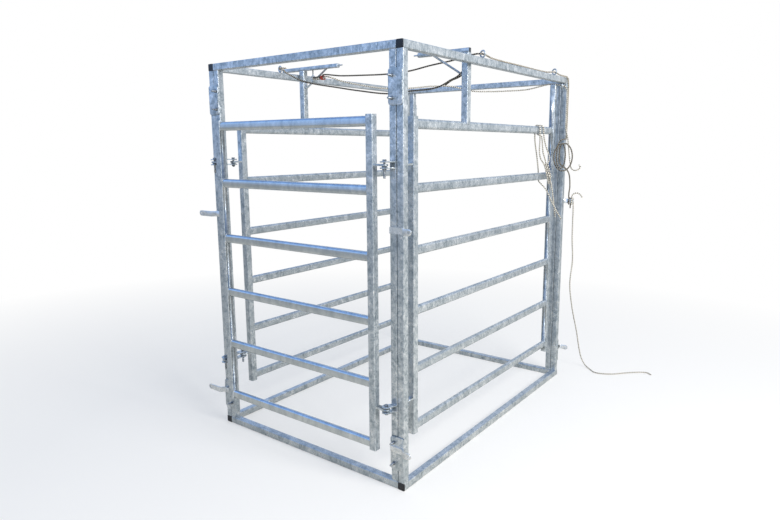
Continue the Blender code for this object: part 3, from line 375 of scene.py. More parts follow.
wound += [(inner, 1.626, 1.760), (inner, 1.664, 1.660), (inner, 1.695, 1.560), (inner, 1.695, 1.505)]
wound += [(0.628, 1.690, 1.484), (0.655, 1.684, 1.462), (0.680, 1.692, 1.430)]
wound += [(0.700, 1.720, 1.370), (0.725, 1.765, 1.290), (0.752, 1.805, 1.222)]
wound_line = smooth_line(wound)
print("gate hank:", round(length_of(wound_line), 3), "m")

# %% [markdown]
# ## Ropes with strands
# A hollow braid is made of strands that wind both ways and pass over and under each other.
# On the tube's surface, with turn u and length v, one set runs along u + v and the other
# along u - v. The radius swells in the middle of each strand, which is the product of two
# waves. The same two numbers go into the UV map, so that the colour follows the braid.

# %% Braided tubes
ACROSS = 24
STRANDS = 4
BRAID_PITCH = 28 * MM


def braided_rope(name, line):
    """Radius = R * (0.92 + 0.05 * (|sin strand right| + |sin strand left|)), less at blunt ends."""
    run = np.concatenate([[0], np.cumsum(np.linalg.norm(np.diff(line, axis=0), axis=1))])
    turn = np.linspace(0, 1, ACROSS, endpoint=False)[None]
    pitch = (run / BRAID_PITCH)[:, None]
    swell = np.abs(np.sin(math.pi * STRANDS * (turn + pitch)))
    swell = swell + np.abs(np.sin(math.pi * STRANDS * (turn - pitch)))
    ends = np.minimum(run, run[-1] - run)[:, None]
    blunt = np.clip(0.62 + ends / (6 * MM) * 0.38, 0, 1)
    points, faces = tube_grid(line, ROPE / 2 * (0.92 + 0.05 * swell) * blunt, ACROSS)
    rows = len(line)
    i, j = np.meshgrid(np.arange(rows - 1), np.arange(ACROSS), indexing="ij")
    u = np.stack([j, j + 1, j + 1, j], axis=-1) / ACROSS
    v = run[np.stack([i, i, i + 1, i + 1], axis=-1)] / BRAID_PITCH
    sides = np.stack([u, v], axis=-1).reshape(-1, 2)
    caps = np.zeros((6 * ACROSS, 2))
    caps[3 * ACROSS :, 1] = run[-1] / BRAID_PITCH
    return mesh_piece(name, points, faces, uv=np.vstack([sides, caps]))


ropes = {
    "pull_rope": (pull_line, ("rope_left_pull", "rear_hank"), "black_rope", "medium", "hanging"),
    "return_rope": (return_line, ("rope_left_return",), "flecked_rope", "medium", "hanging"),
    "cross_rope": (cross_line, ("rope_right_pull",), "black_rope", "medium", "hanging"),
    "loose_rope": (fall_line, ("rope_tail",), "flecked_rope", "medium", "hanging"),
    "gate_hank_rope": (wound_line, ("gate_hank",), "flecked_rope", "medium", "coiled"),
}
rope_pieces = {}
for name, (line, nodes, slot, stiffness, lay) in ropes.items():
    piece = braided_rope(name, line)
    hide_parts(*nodes)
    rope_pieces[name] = piece
    print(name, len(piece.data.polygons), "faces")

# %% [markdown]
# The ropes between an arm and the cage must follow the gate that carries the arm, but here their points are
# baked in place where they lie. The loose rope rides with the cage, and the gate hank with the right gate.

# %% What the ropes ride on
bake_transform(rope_pieces["pull_rope"])
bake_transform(rope_pieces["return_rope"])
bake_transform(rope_pieces["cross_rope"])
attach(rope_pieces["loose_rope"], "cage")
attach(rope_pieces["gate_hank_rope"], "right_gate")

# %% [markdown]
# Red twine binds the four strands together beside the arm's eye, so that neither rope slips
# through. It is a thin tube wound on a rounded square, a little larger than the bundle.

# %% Red seizing
TWINE_TURNS = 7
turned = np.linspace(0, 2 * math.pi * TWINE_TURNS, TWINE_TURNS * 40 + 1)
cosine, sine = np.cos(turned), np.sin(turned)
half = 12.6 * MM
winding = np.stack(
    [
        np.linspace(-0.472, -0.449, len(turned)),
        ARM_Y["left"] + half * np.sign(cosine) * np.abs(cosine) ** 0.7,
        EYE[1] + half * np.sign(sine) * np.abs(sine) ** 0.7,
    ],
    axis=1,
)
seizing = mesh_piece("arm_seizing", *tube_grid(winding, 1.5 * MM, 8))
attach(seizing, "left_gate")
print("the seizing has", len(seizing.data.polygons), "faces")

# %% [markdown]
# ## Steel with rounded shading
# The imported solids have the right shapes, in few faces and as loose triangles. A copy with
# its points merged can be shaded smooth wherever two faces meet at a small angle, so that a
# tube's corners and the oval rails catch one soft highlight. Weighted normals keep the
# large flats flat. This costs nothing in faces, where a subdivision would.

# %% Smooth copies of the steel and the plugs
bodies = {node: body for body, nodes in frame["record"]["behaviour"]["bodies"].items() for node in nodes}
slots = {row["node"]: row["material_slot"] for row in frame["record"]["subparts"]}
ROUND_ANGLE = math.radians(50)
SAME_POINT = MM / 200


def smooth_copy(node):
    """The node's triangles with doubles merged; edges sharper than ROUND_ANGLE stay crisp."""
    mesh = frame["nodes"][node].data.copy()
    mesh.materials.clear()
    shell = bmesh.new()
    shell.from_mesh(mesh)
    bmesh.ops.remove_doubles(shell, verts=shell.verts, dist=SAME_POINT)
    shell.to_mesh(mesh)
    shell.free()
    mesh.polygons.foreach_set("use_smooth", np.ones(len(mesh.polygons), bool))
    mesh.set_sharp_from_angle(angle=ROUND_ANGLE)
    piece = bpy.data.objects.new("dressed_" + node, mesh)
    bpy.context.scene.collection.objects.link(piece)
    even = piece.modifiers.new("even_normals", "WEIGHTED_NORMAL")
    even.keep_sharp = True
    even.weight = 60
    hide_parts(node)
    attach(piece, bodies[node])
    return piece


steel = {node: smooth_copy(node) for node in slots if slots[node] == "galvanised_tube"}
plugs = {node: smooth_copy(node) for node in slots if slots[node] == "black_plastic"}
print(len(steel), "steel pieces and", len(plugs), "plugs")

# %% [markdown]
# ## Nuts, heads and threads
# A bolt is round, so it is a profile turned about its axis, and its hexagon comes from
# cutting the radius where a flat is nearer than the profile. Corners cut by a shallow cone
# give the curved chamfer of a real nut. The thread is a ridge that climbs one pitch a turn.

# %% Fasteners
def turned_solid(profile, columns=36, flat=None):
    """Profile rows (radius, height) about z. With a flat, radius = min(radius, flat / cos(angle
    to the nearest flat)). Each end closes in a centre point."""
    profile = np.asarray(profile, float)
    t = np.linspace(0, 2 * math.pi, columns, endpoint=False)[None]
    r = np.repeat(profile[:, :1], columns, axis=1)
    if flat:
        r = np.minimum(r, flat / np.cos((t + math.pi / 6) % (math.pi / 3) - math.pi / 6))
    h = np.repeat(profile[:, 1:], columns, axis=1)
    points = np.stack([r * np.cos(t), r * np.sin(t), h], axis=-1).reshape(-1, 3)
    return closed_grid(points, columns, [[0, 0, profile[0, 1]], [0, 0, profile[-1, 1]]])


def hex_head(flat, low, high):
    """A nut or bolt head: flats, and a cone that takes the corners off at both ends."""
    corner, lip = flat * 1.155, (high - low) * 0.14
    rows = [(flat * 0.93, low), (corner, low + lip), (corner, high - lip), (flat * 0.93, high)]
    return turned_solid(rows, 36, flat)


def threaded_rod(radius, low, high, pitch, depth):
    """Radius = R - depth * |saw(height / pitch - turn)|, fading to a smooth cone at the tips."""
    columns, rows = 14, int((high - low) / pitch * 5) + 2
    t = np.linspace(0, 1, columns, endpoint=False)[None]
    h = np.linspace(low, high, rows)[:, None]
    ridge = np.abs(((h / pitch - t) % 1) * 2 - 1)
    tip = np.clip(np.minimum(h - low, high - h) / (1.2 * MM), 0, 1)
    r = (radius - depth * ridge) * (0.8 + 0.2 * tip)
    turn = 2 * math.pi * t
    grid = np.stack([r * np.cos(turn), r * np.sin(turn), np.broadcast_to(h, r.shape)], axis=-1)
    return closed_grid(grid.reshape(-1, 3), columns, [[0, 0, low], [0, 0, high]])


def joined(*solids):
    """Several (points, faces) as one."""
    points, faces, start = [], [], 0
    for p, f in solids:
        points.append(p)
        faces += [[i + start for i in face] for face in f]
        start += len(p)
    return np.vstack(points), faces


CRISP_ANGLE = math.radians(35)


def bolt_piece(node, points, faces):
    piece = mesh_piece("dressed_" + node, points, faces)
    piece.data.set_sharp_from_angle(angle=CRISP_ANGLE)
    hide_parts(node)
    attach(piece, bodies[node])
    return piece


BOLT_PROUD, BOLT_RADIUS = 30 * MM, 5 * MM
WASHER_RADIUS, WASHER = 9.2 * MM, 1.4 * MM
NUT_FLAT, NUT_END = 8.1 * MM, 8 * MM
fasteners = []
for node in sorted(n for n in slots if "_bolt_" in n and "hinge" not in n):
    low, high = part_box(node)
    out = -1 if node.startswith("front") else 1
    root, tip = (high.y, low.y) if out < 0 else (low.y, high.y)
    seat = abs(tip - root) - BOLT_PROUD
    washer = [(8.6 * MM, seat - 0.2 * MM), (WASHER_RADIUS, seat + 0.2 * MM), (WASHER_RADIUS, seat + WASHER)]
    points, faces = joined(
        turned_solid(washer),
        hex_head(NUT_FLAT, seat + WASHER, seat + NUT_END),
        threaded_rod(BOLT_RADIUS, 0.0, abs(tip - root), pitch=1.6 * MM, depth=0.55 * MM),
    )
    turn = np.array([[1, 0, 0], [0, 0, out], [0, -out, 0]], float)
    middle = np.array([(low.x + high.x) / 2, root, (low.z + high.z) / 2])
    fasteners.append(bolt_piece(node, points @ turn.T + middle, faces))
print(len(fasteners), "joint bolts")

# %% [markdown]
# The gates turn on bolts whose head sits on the bracket and whose nut sits under it. The
# front latch has two headed pins instead, which drop through bracket and strap and end in
# a rounded tip, so that they find their hole.

# %% Hinge bolts and latch pins
HINGE_HEIGHTS = {"upper": 1.643, "lower": 0.436}
FRONT_GATE_Y = -0.058
SHANK, HEAD_FLAT, HEAD = 5.9 * MM, 9.1 * MM, 8 * MM
HALF_BRACKET, SEAM = 17.5 * MM, 0.3 * MM
for node in sorted(n for n in slots if "hinge_bolt" in n or "latch_pin" in n):
    z = HINGE_HEIGHTS[node.rsplit("_", 1)[1]]
    low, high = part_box(node)
    top, bottom, end = HALF_BRACKET + SEAM, -HALF_BRACKET - SEAM, low.z - z
    solids = [hex_head(HEAD_FLAT, top, top + HEAD)]
    if "latch" in node:
        tip = [(2 * MM, end), (4.6 * MM, end + 1 * MM), (SHANK, end + 4 * MM)]
        solids.append(turned_solid([*tip, (SHANK, top + HEAD / 2)], 24))
    else:
        solids.append(hex_head(HEAD_FLAT, bottom - HEAD, bottom))
        solids.append(turned_solid([(SHANK, bottom - HEAD / 2), (SHANK, top + HEAD / 2)], 24))
        solids.append(threaded_rod(SHANK, end, bottom - HEAD / 2, pitch=1.75 * MM, depth=0.6 * MM))
    points, faces = joined(*solids)
    middle = np.array([(low.x + high.x) / 2, (low.y + high.y) / 2, z])
    fasteners.append(bolt_piece(node, points + middle, faces))
print(len(fasteners), "fasteners in all")

# %% [markdown]
# ## Weld beads
# Every joint of such a gate is welded before it is galvanised, so each rail ends in a ring
# of small ripples. A bead is a thin tube whose radius ripples along it. It sits half sunk
# in the corner, as a fillet does.

# %% Welds
BEAD_SIDES = 8


def bead(path, radius, ripples, closed=False):
    """Radius = r * (1 + 0.16 * sin(ripples along the path)), tapering at a bead's open ends."""
    run = np.linspace(0, 1, len(path))
    r = radius * (1 + 0.16 * np.sin(2 * math.pi * ripples * run))
    if not closed:
        r = r * np.clip(0.35 + 6 * np.minimum(run, 1 - run), 0, 1)
        return tube_grid(path, r[:, None], BEAD_SIDES)
    tangent = unit(np.roll(path, -1, axis=0) - np.roll(path, 1, axis=0))
    away = unit(path - path.mean(axis=0))
    side = unit(away - tangent * np.sum(away * tangent, axis=1, keepdims=True))
    points = rings_about(path, side, np.cross(tangent, side), r[:, None], BEAD_SIDES)
    return points, (grid_faces(len(path) + 1, BEAD_SIDES) % len(points)).tolist()


def line_bead(start, end, radius=2.2 * MM):
    start, end = np.array(start, float), np.array(end, float)
    stations = max(12, int(np.linalg.norm(end - start) / (1.4 * MM)))
    path = start + (end - start) * np.linspace(0, 1, stations)[:, None]
    return bead(path, radius, np.linalg.norm(end - start) / (4.5 * MM))


def oval_path(centre, axis):
    """Round a flat-sided rail: two half circles 22 mm apart, 0.3 mm outside its wall."""
    t = np.linspace(0, 2 * math.pi, 72, endpoint=False)
    radius, apart = RAIL_DEPTH / 2 + 0.3 * MM, RAIL_HEIGHT - RAIL_DEPTH
    wide = radius * np.cos(t)
    tall = radius * np.sin(t) + apart / 2 * np.tanh(6 * np.sin(t))
    zero = np.zeros_like(t)
    flat = [zero, wide, tall] if axis == "x" else [wide, zero, tall]
    return np.stack(flat, axis=1) + np.array(centre)


FRONT_TOP_RAIL, FRONT_PITCH, SIDE_PITCH = 1.846, 0.3229, 0.3128
FRONT_RAILS = [FRONT_TOP_RAIL - i * FRONT_PITCH for i in range(6)]
SIDE_RAILS = [SIDE_TOP_RAIL - i * SIDE_PITCH for i in range(6)]
FRONT_STILES = (-0.598 + TUBE, 0.561 - TUBE)
SIDE_STILES = (0.127 + TUBE, 1.885 - TUBE)
RING, RIPPLES = 2.3 * MM, 22
rings = [(x, FRONT_GATE_Y, z) for x in FRONT_STILES for z in FRONT_RAILS]
weld_pieces = [("front_gate", [bead(oval_path(c, "x"), RING, RIPPLES, True) for c in rings])]
for side, s in (("left", -1), ("right", 1)):
    rings = [(s * SIDE_GATE_X, y, z) for y in SIDE_STILES for z in SIDE_RAILS]
    weld_pieces.append((side + "_gate", [bead(oval_path(c, "y"), RING, RIPPLES, True) for c in rings]))
POST_GAP = 1.5 * MM
JAMB_X = WIDTH / 2 - TUBE - POST_GAP - TUBE / 2
cage_beads = []
for s in (-1, 1):
    inside = s * (JAMB_X - TUBE / 2)
    near, far = s * JAMB_X - 16 * MM, s * JAMB_X + 16 * MM
    for y in (-TUBE / 2, REAR_Y - TUBE):
        for z in (TUBE, HEIGHT - TUBE):
            cage_beads.append(line_bead((inside, y + 3 * MM, z), (inside, y + TUBE - 3 * MM, z), 2.6 * MM))
            for face in (y, y + TUBE):
                cage_beads.append(line_bead((near, face, z), (far, face, z), 1.3 * MM))
    for z in HINGE_HEIGHTS.values():
        for level in (z - HALF_BRACKET, z + HALF_BRACKET):
            for y in (-TUBE / 2, TUBE / 2):
                cage_beads.append(line_bead((near, y, level), (far, y, level)))
weld_pieces.append(("cage", cage_beads))
welds = []
for body, beads in weld_pieces:
    piece = mesh_piece(body + "_welds", *joined(*beads))
    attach(piece, body)
    welds.append(piece)
    print(piece.name, len(beads), "beads")

# %% [markdown]
# ## Materials
# Each material starts from what the real thing is and how its surface was made. Colours are
# written as sRGB hex and turned to linear. Patterns use Object coordinates, so one metre of
# pattern is one metre of steel, and every scale below comes from a size in millimetres.

# %% Tools for materials
def linear(code):
    """An sRGB hex colour as linear RGBA: ((c + 0.055) / 1.055) ** 2.4 above the toe."""
    c = np.array([int(code[i : i + 2], 16) / 255 for i in (1, 3, 5)])
    c = np.where(c <= 0.04045, c / 12.92, ((c + 0.055) / 1.055) ** 2.4)
    return (*c.tolist(), 1.0)


def add(tree, kind, values=(), links=(), out=None, stops=(), **settings):
    """One node: its settings, then the values of its sockets, then the outputs linked to them,
    and for a ramp its stops as (place, hex colour or grey number). Gives back its output named
    or numbered out, or the node where out is left open."""
    node = tree.nodes.new("ShaderNode" + kind)
    for name, value in settings.items():
        setattr(node, name, value)
    for socket, value in dict(values).items():
        node.inputs[socket].default_value = value
    for socket, output in dict(links).items():
        tree.links.new(output, node.inputs[socket])
    if stops:
        elements = node.color_ramp.elements
        while len(elements) < len(stops):
            elements.new(0.5)
        for element, (place, tone) in zip(elements, stops):
            element.position = place
            element.color = linear(tone) if isinstance(tone, str) else (tone, tone, tone, 1)
    return node if out is None else node.outputs[out]


def new_material(name):
    material = bpy.data.materials.new(name)
    material.use_nodes = True
    tree = material.node_tree
    return material, tree, tree.nodes["Principled BSDF"]


def per_metre(size_mm):
    """A texture's scale for features of this size."""
    return 1000 / size_mm


print("a spangle of 12 mm has scale", round(per_metre(12), 1))

# %% [markdown]
# Hot-dip galvanising leaves a coat of zinc that is silver where it shines and cloudy where
# the molten zinc ran and set. The runs go across a tube, so the noise that makes them is
# squeezed along it: a member that lies level has upright streaks, and an upright one has
# blotches. The streaks are thicknesses too, so they drive a bump, which shows where the
# light falls from the side. Small Voronoi cells give the crystals of the spangle.

# %% Hot-dip galvanised steel
CLOUD_MM, SPANGLE_MM = 45, 7
CLOUD_SHARE, SPANGLE_SHARE = 0.38, 0.22
RELIEF = 0.6 * MM


def galvanised(name, stops, stretch, rough, bump, streak_mm=13, metal=0.65):
    """Zinc coat: runs (stretched noise), clouds and spangle cells mixed. The mix gives colour
    through the stops, gloss from rough[1] down to rough[0], and relief."""
    material, tree, shader = new_material(name)
    place = add(tree, "TexCoord", out="Object")
    drawn = add(tree, "VectorMath", {1: stretch}, {0: place}, out=0, operation="MULTIPLY")
    fine = {"Scale": per_metre(streak_mm), "Detail": 4.0, "Roughness": 0.6, "Distortion": 1.0}
    runs = add(tree, "TexNoise", fine, {"Vector": drawn}, out="Fac")
    wide = {"Scale": per_metre(CLOUD_MM), "Detail": 3.0}
    clouds = add(tree, "TexNoise", wide, {"Vector": place}, out="Fac")
    small = {"Scale": per_metre(SPANGLE_MM)}
    cells = add(tree, "TexVoronoi", small, {"Vector": place}, out="Color", feature="F1")
    spangle = add(tree, "SeparateColor", links={"Color": cells}, out="Red")
    runs = add(tree, "MapRange", {"From Min": 0.36, "From Max": 0.64}, {"Value": runs}, out="Result")
    clouds = add(tree, "MapRange", {"From Min": 0.35, "From Max": 0.65}, {"Value": clouds}, out="Result")
    coat = add(tree, "Mix", {"Factor": CLOUD_SHARE}, {"A": runs, "B": clouds}, out="Result")
    mixed = add(tree, "Mix", {"Factor": SPANGLE_SHARE}, {"A": coat, "B": spangle}, out="Result")
    tone = add(tree, "ValToRGB", links={"Fac": mixed}, out="Color", stops=stops)
    tree.links.new(tone, shader.inputs["Base Color"])
    shader.inputs["Metallic"].default_value = metal
    gloss = {"To Min": rough[1], "To Max": rough[0]}
    dull = add(tree, "MapRange", gloss, {"Value": mixed}, out="Result")
    tree.links.new(dull, shader.inputs["Roughness"])
    relief = add(tree, "Bump", {"Strength": bump, "Distance": RELIEF}, {"Height": mixed}, out="Normal")
    tree.links.new(relief, shader.inputs["Normal"])
    return material


LEVEL, UPRIGHT = (1.0, 1.0, 0.28), (0.7, 0.7, 0.6)
TUBE_STOPS = [(0.0, "#78838a"), (0.35, "#a0a9ae"), (0.65, "#bec4c8"), (1.0, "#eaecec")]
level_zinc = galvanised("hot_dip_galvanised_level_tube", TUBE_STOPS, LEVEL, (0.22, 0.40), 0.65)
upright_zinc = galvanised("hot_dip_galvanised_upright_tube", TUBE_STOPS, UPRIGHT, (0.22, 0.40), 0.5)
RAIL_STOPS = [(0.0, "#aab1b5"), (0.5, "#bdc3c6"), (1.0, "#d0d4d6")]
rail_zinc = galvanised("galvanised_front_gate_rail", RAIL_STOPS, LEVEL, (0.10, 0.20), 0.05, 40, 0.88)
LUG_STOPS = [(0.0, "#b4b9bb"), (0.5, "#d3d6d7"), (1.0, "#f0f1f1")]
lug_zinc = galvanised("galvanised_flat_bar_lug", LUG_STOPS, UPRIGHT, (0.24, 0.38), 0.2, 20)
side_rail_zinc = galvanised("galvanised_side_gate_rail", TUBE_STOPS, LEVEL, (0.20, 0.38), 0.65, 11)
BEAD_STOPS = [(0.0, "#8f979d"), (1.0, "#dcdfe1")]
weld_zinc = galvanised("galvanised_weld_bead", BEAD_STOPS, UPRIGHT, (0.34, 0.5), 0.5, 6)
print("six finishes of zinc")

# %% [markdown]
# The gates' oval rails are drawn tube and smoother than the square stock, so they show long
# clean highlights. They're part of the same welded piece, so a second material goes to the
# faces between the stiles.

# %% Rails and stiles
def face_centres(mesh):
    """The middles of a mesh's faces, one row each."""
    centres = np.empty(len(mesh.polygons) * 3)
    mesh.polygons.foreach_get("center", centres)
    return centres.reshape(-1, 3)


def rails_apart(piece, axis, low, high, material):
    """Faces whose middle lies between the stiles take the second material."""
    mesh = piece.data
    mesh.materials.append(upright_zinc)
    mesh.materials.append(material)
    along = face_centres(mesh)[:, axis]
    index = ((along > low) & (along < high)).astype(np.int32)
    mesh.polygons.foreach_set("material_index", index)
    return int(index.sum())


front_faces = rails_apart(steel["front_gate"], 0, *FRONT_STILES, rail_zinc)
for side in ("left", "right"):
    rails_apart(steel[side + "_gate"], 1, *SIDE_STILES, side_rail_zinc)
for node, piece in steel.items():
    lies_level = node.endswith(("rail", "header", "sill"))
    if not piece.data.materials:
        piece.data.materials.append(level_zinc if lies_level else upright_zinc)
for piece in welds:
    piece.data.materials.append(weld_zinc)
print(front_faces, "faces of the front gate are rail")

# %% [markdown]
# The yard lugs are cut from flat bar, which takes a brighter coat than the tube behind it.
# They're found as the faces of a post that lie outside its tube and at a lug's height. The
# joint plates lie outside the tube too, at the height of the low lugs, so down there only
# what stands out past a plate counts.

# %% Lugs
LUG_HEIGHTS, LUG_HALF = (LUG_Z, 0.2177), 16.5 * MM
lug_faces = 0
for node in sorted(n for n in steel if n.endswith("_post")):
    mesh = steel[node].data
    mesh.materials.append(lug_zinc)
    x, y, z = face_centres(mesh).T
    out = np.abs(y - (0.0 if "front" in node else REAR_Y - TUBE / 2)) - TUBE / 2
    at_lug = np.abs(z - np.array(LUG_HEIGHTS)[:, None]).min(axis=0) < LUG_HALF
    clear_of_plate = (out > PLATE + 0.1 * MM) | (z > 1.0)
    index = ((out > 0.2 * MM) & at_lug & clear_of_plate).astype(np.int32)
    mesh.polygons.foreach_set("material_index", index)
    lug_faces += int(index.sum())
print(lug_faces, "faces of the posts are lug")

# %% [markdown]
# The bolts are zinc plated, which is thinner and darker than the dipped coat, and dulls in
# the yard. The plugs are moulded polyethylene: black, matt, with a faint grain.

# %% Fasteners and plugs
def mottled(name, size_mm, detail, stops):
    """A material whose colour runs through the stops as noise of one size rises. Gives the
    noise too, so that gloss or relief can follow it."""
    material, tree, shader = new_material(name)
    place = add(tree, "TexCoord", out="Object")
    size = {"Scale": per_metre(size_mm), "Detail": detail}
    noise = add(tree, "TexNoise", size, {"Vector": place}, out="Fac")
    tone = add(tree, "ValToRGB", links={"Fac": noise}, out="Color", stops=stops)
    tree.links.new(tone, shader.inputs["Base Color"])
    return material, tree, shader, noise


PLATED_STOPS = [(0.3, "#6b7075"), (0.55, "#999da0"), (0.8, "#cbccca")]
material, tree, shader, patch = mottled("dulled_zinc_plated_steel", 6, 4.0, PLATED_STOPS)
shader.inputs["Metallic"].default_value = 0.9
worn = add(tree, "MapRange", {"To Min": 0.28, "To Max": 0.55}, {"Value": patch}, out="Result")
tree.links.new(worn, shader.inputs["Roughness"])
for piece in fasteners:
    piece.data.materials.append(material)

DUST_STOPS = [(0.35, "#0f1116"), (0.75, "#1f2127")]
material, tree, shader, _ = mottled("moulded_black_polyethylene", 15, 4.0, DUST_STOPS)
place = add(tree, "TexCoord", out="Object")
grain = add(tree, "TexNoise", {"Scale": per_metre(1.5), "Detail": 2.0}, {"Vector": place}, out="Fac")
shader.inputs["Roughness"].default_value = 0.48
relief = add(tree, "Bump", {"Strength": 0.25, "Distance": 0.1 * MM}, {"Height": grain}, out="Normal")
tree.links.new(relief, shader.inputs["Normal"])
for piece in plugs.values():
    piece.data.materials.append(material)
print(len(fasteners), "fasteners and", len(plugs), "plugs have their finish")

# %% [markdown]
# The ropes are braided polyester with a dark tracer strand. The map's first number goes once round the rope
# and its second counts pitches, so the tracer is a line of equal u + 2v: it winds about the pale rope and
# shows as flecks 14 mm apart. The pull rope is dark across the cage and in its hank, and pale in between.

# %% Braided rope
def braid(name, light, dark, share_stops, dust_and_groove_shade_code):
    """Dark where the fraction of u + 2v is below a share, which changes along the rope's metres. Where it
    is pale, noise and the weave, a zigzag of u - v, run from dust to the light tone. The zigzag is low in
    the grooves between strands, so the dark tone there is painted shade as well as dust."""
    material, tree, shader = new_material(name)
    layer = add(tree, "UVMap", out="UV", uv_map="length_and_turn")
    split = add(tree, "SeparateXYZ", links={"Vector": layer})
    u, v = split.outputs["X"], split.outputs["Y"]
    twice = add(tree, "Math", {1: 2.0}, {0: v}, out=0, operation="MULTIPLY")
    tracer = add(tree, "Math", links={0: u, 1: twice}, out=0, operation="ADD")
    part = add(tree, "Math", links={0: tracer}, out=0, operation="FRACT")
    longest = share_stops[-1][0]
    along = add(tree, "Math", {1: BRAID_PITCH / longest}, {0: v}, out=0, operation="MULTIPLY")
    stops = [(metre / longest, dark_share) for metre, dark_share in share_stops]
    share = add(tree, "ValToRGB", links={"Fac": along}, out="Color", stops=stops)
    fleck = add(tree, "Math", links={0: part, 1: share}, out=0, operation="LESS_THAN")
    counter = add(tree, "Math", links={0: u, 1: v}, out=0, operation="SUBTRACT")
    crossing = add(tree, "Math", {1: 2.0 * STRANDS}, {0: counter}, out=0, operation="MULTIPLY")
    weave = add(tree, "Math", {1: 1.0}, {0: crossing}, out=0, operation="PINGPONG")
    place = add(tree, "TexCoord", out="Object")
    fuzz = add(tree, "TexNoise", {"Scale": per_metre(2), "Detail": 5.0}, {"Vector": place}, out="Fac")
    woven = add(tree, "Mix", {"Factor": 0.35}, {"A": fuzz, "B": weave}, out="Result")
    # The dust tone also fills the grooves between strands, where the weave's zigzag is low: painted shade
    # as well as dust.
    pale_stops = [(0.25, dust_and_groove_shade_code), (0.6, light)]
    pale = add(tree, "ValToRGB", links={"Fac": woven}, out="Color", stops=pale_stops)
    two_tone = {"Factor": fleck, "A": pale}
    mixed = add(tree, "Mix", {"B": linear(dark)}, two_tone, out="Result", data_type="RGBA")
    tree.links.new(mixed, shader.inputs["Base Color"])
    shader.inputs["Roughness"].default_value = 0.85
    shader.inputs["Sheen Weight"].default_value = 0.2
    relief = add(tree, "Bump", {"Strength": 0.5, "Distance": 0.4 * MM}, {"Height": woven}, out="Normal")
    tree.links.new(relief, shader.inputs["Normal"])
    return material


EVEN_SHARE = [(0.0, 0.42), (5.0, 0.42)]
DARK_ENDS_SHARE = [(0.0, 0.86), (1.30, 0.86), (1.45, 0.40), (2.90, 0.40), (3.10, 0.76), (5.0, 0.76)]
rope_finish = {
    "flecked_rope": braid("flecked_braided_polyester", "#f1ece0", "#2a241f", EVEN_SHARE, "#b5a98f"),
    "black_rope": braid("dark_braided_polyester", "#cfc4ae", "#221d19", DARK_ENDS_SHARE, "#8b7d67"),
}
for name, (_, _, slot, _, _) in ropes.items():
    rope_pieces[name].data.materials.append(rope_finish[slot])

TWINE_STOPS = [(0.3, "#8f2f27"), (0.7, "#c8503f")]
material, tree, shader, _ = mottled("red_nylon_twine", 1, 3.0, TWINE_STOPS)
shader.inputs["Roughness"].default_value = 0.7
seizing.data.materials.append(material)
print(len(rope_pieces), "ropes are braided")

# %% [markdown]
# ## Floor, sky and light
# A pale floor keeps the object's shadow. To the camera it brightens into the white of the
# background a few metres out, by an emission that only camera rays see. To all other rays
# it stays a plain warm paint, so it throws no extra light on the steel.

# %% Floor
def disc(radius, rings, columns):
    """Polar grid: (r cos t, r sin t, 0), its rings closer near the middle."""
    r = (np.linspace(0.02, 1, rings) ** 2 * radius)[:, None]
    t = np.linspace(0, 2 * math.pi, columns, endpoint=False)[None]
    points = np.stack([r * np.cos(t), r * np.sin(t), np.zeros((rings, columns)) - 0.5 * MM], axis=-1)
    points = np.vstack([points.reshape(-1, 3), [[0, 0, -0.5 * MM]]])
    quads = grid_faces(rows=rings, columns=columns)[:, ::-1]
    fan = [[rings * columns, a, (a + 1) % columns] for a in range(columns)]
    return points, quads.tolist() + fan


floor = mesh_piece("floor", *disc(40, 24, 64), smooth=False)
material, tree, shader = new_material("pale_floor_paint")
seen = add(tree, "LightPath", out="Is Camera Ray")
paints = {"A": linear("#e8e0d0"), "B": linear("#f3efe8")}
paint = add(tree, "Mix", paints, {"Factor": seen}, out="Result", data_type="RGBA")
tree.links.new(paint, shader.inputs["Base Color"])
shader.inputs["Roughness"].default_value = 0.9
place = add(tree, "TexCoord", out="Object")
away = add(tree, "VectorMath", links={0: place}, out="Value", operation="LENGTH")
brightening = {"From Min": 1.6, "From Max": 5.5, "To Min": 0.35}
fade = add(tree, "MapRange", brightening, {"Value": away}, out="Result")
white = add(tree, "Math", links={0: fade, 1: seen}, out=0, operation="MULTIPLY")
glow = add(tree, "Emission", {"Strength": 1.0}, out=0)
both = add(tree, "MixShader", links={0: white, 1: shader.outputs[0], 2: glow}, out=0)
tree.links.new(both, tree.nodes["Material Output"].inputs["Surface"])
floor.data.materials.append(material)
print("the floor has", len(floor.data.polygons), "faces")

# %% [markdown]
# Metal shows whatever is around it: in open air a bright haze on the sun's side, and blue
# sky on the other. So the sky that glossy rays meet is hazy white towards the key lamp and
# blue away from it, and each ramp runs from the horizon up to the zenith. The blue side is
# brighter than a hex colour can say, so it has a gain. The camera sees plain white, and
# dull surfaces are lit by one pale grey blue.

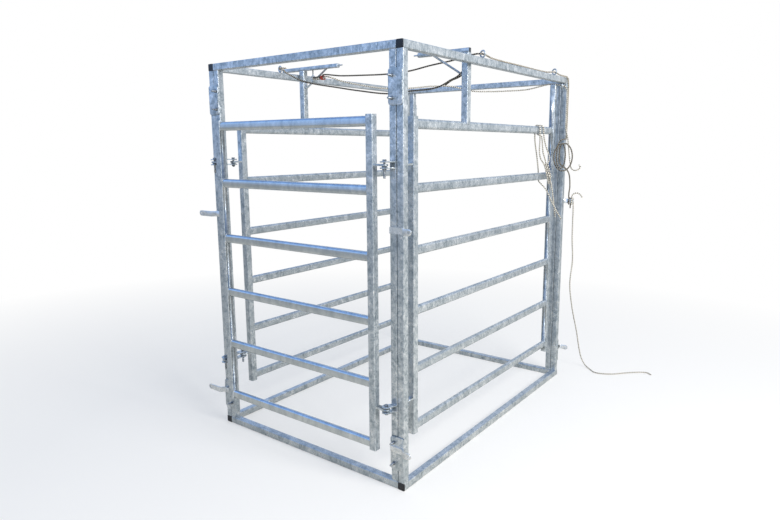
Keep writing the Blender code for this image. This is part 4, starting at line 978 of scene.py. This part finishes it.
# %% Sky
HAZE_TOWARDS = (0.62, 0.78, 0.0)
SHADED_STOPS = [(0.0, "#9bafce"), (0.12, "#9cbcec"), (0.28, "#a8ceff"), (0.60, "#709cdf"), (1.0, "#658cca")]
HAZY_STOPS = [(0.0, "#eef1f4"), (0.25, "#e8eef6"), (0.6, "#b0c7ea"), (1.0, "#7a9dd4")]
SHADED_GAIN = 1.55
world = bpy.data.worlds.new("open_sky")
world.use_nodes = True
bpy.context.scene.world = world
tree = world.node_tree
direction = add(tree, "TexCoord", out="Generated")
height = add(tree, "SeparateXYZ", links={"Vector": direction}, out="Z")
facing = {0: direction}
sunward = add(tree, "VectorMath", {1: HAZE_TOWARDS}, facing, out="Value", operation="DOT_PRODUCT")
turn = {"From Min": -0.55, "From Max": 0.55}
side = add(tree, "MapRange", turn, {"Value": sunward}, out="Result", interpolation_type="SMOOTHSTEP")
blue = add(tree, "ValToRGB", links={"Fac": height}, out="Color", stops=SHADED_STOPS)
shaded = add(tree, "VectorMath", {"Scale": SHADED_GAIN}, {0: blue}, out=0, operation="SCALE")
hazy = add(tree, "ValToRGB", links={"Fac": height}, out="Color", stops=HAZY_STOPS)
sides = {"Factor": side, "A": shaded, "B": hazy}
mirrored = add(tree, "Mix", links=sides, out="Result", data_type="RGBA")
rays = add(tree, "LightPath")
plain = {"A": linear("#c2cddf"), "B": (1, 1, 1, 1)}
seen = {"Factor": rays.outputs["Is Camera Ray"]}
lit = add(tree, "Mix", plain, seen, out="Result", data_type="RGBA")
seen_or_mirrored = {"Factor": rays.outputs["Is Glossy Ray"], "A": lit, "B": mirrored}
sky = add(tree, "Mix", links=seen_or_mirrored, out="Result", data_type="RGBA")
tree.links.new(sky, tree.nodes["Background"].inputs["Color"])
print("the sky has", len(tree.nodes), "nodes")

# %% [markdown]
# One lamp gives the soft light of the sun through haze. It hangs on the right, high and
# wide, so the right side of every tube is bright and shadows on the floor are faint.

# %% Lamp
def area_lamp(name, place, target, size, watts):
    data = bpy.data.lights.new(name, "AREA")
    data.size, data.energy = size, watts
    lamp = bpy.data.objects.new(name, data)
    lamp.location = place
    lamp.rotation_euler = (Vector(target) - Vector(place)).to_track_quat("-Z", "Y").to_euler()
    bpy.context.scene.collection.objects.link(lamp)
    return lamp


key = area_lamp("key", (5.2, -0.3, 4.0), (0, 1.0, 1.0), 3.0, 330)
print("one soft lamp of", key.data.energy, "W")
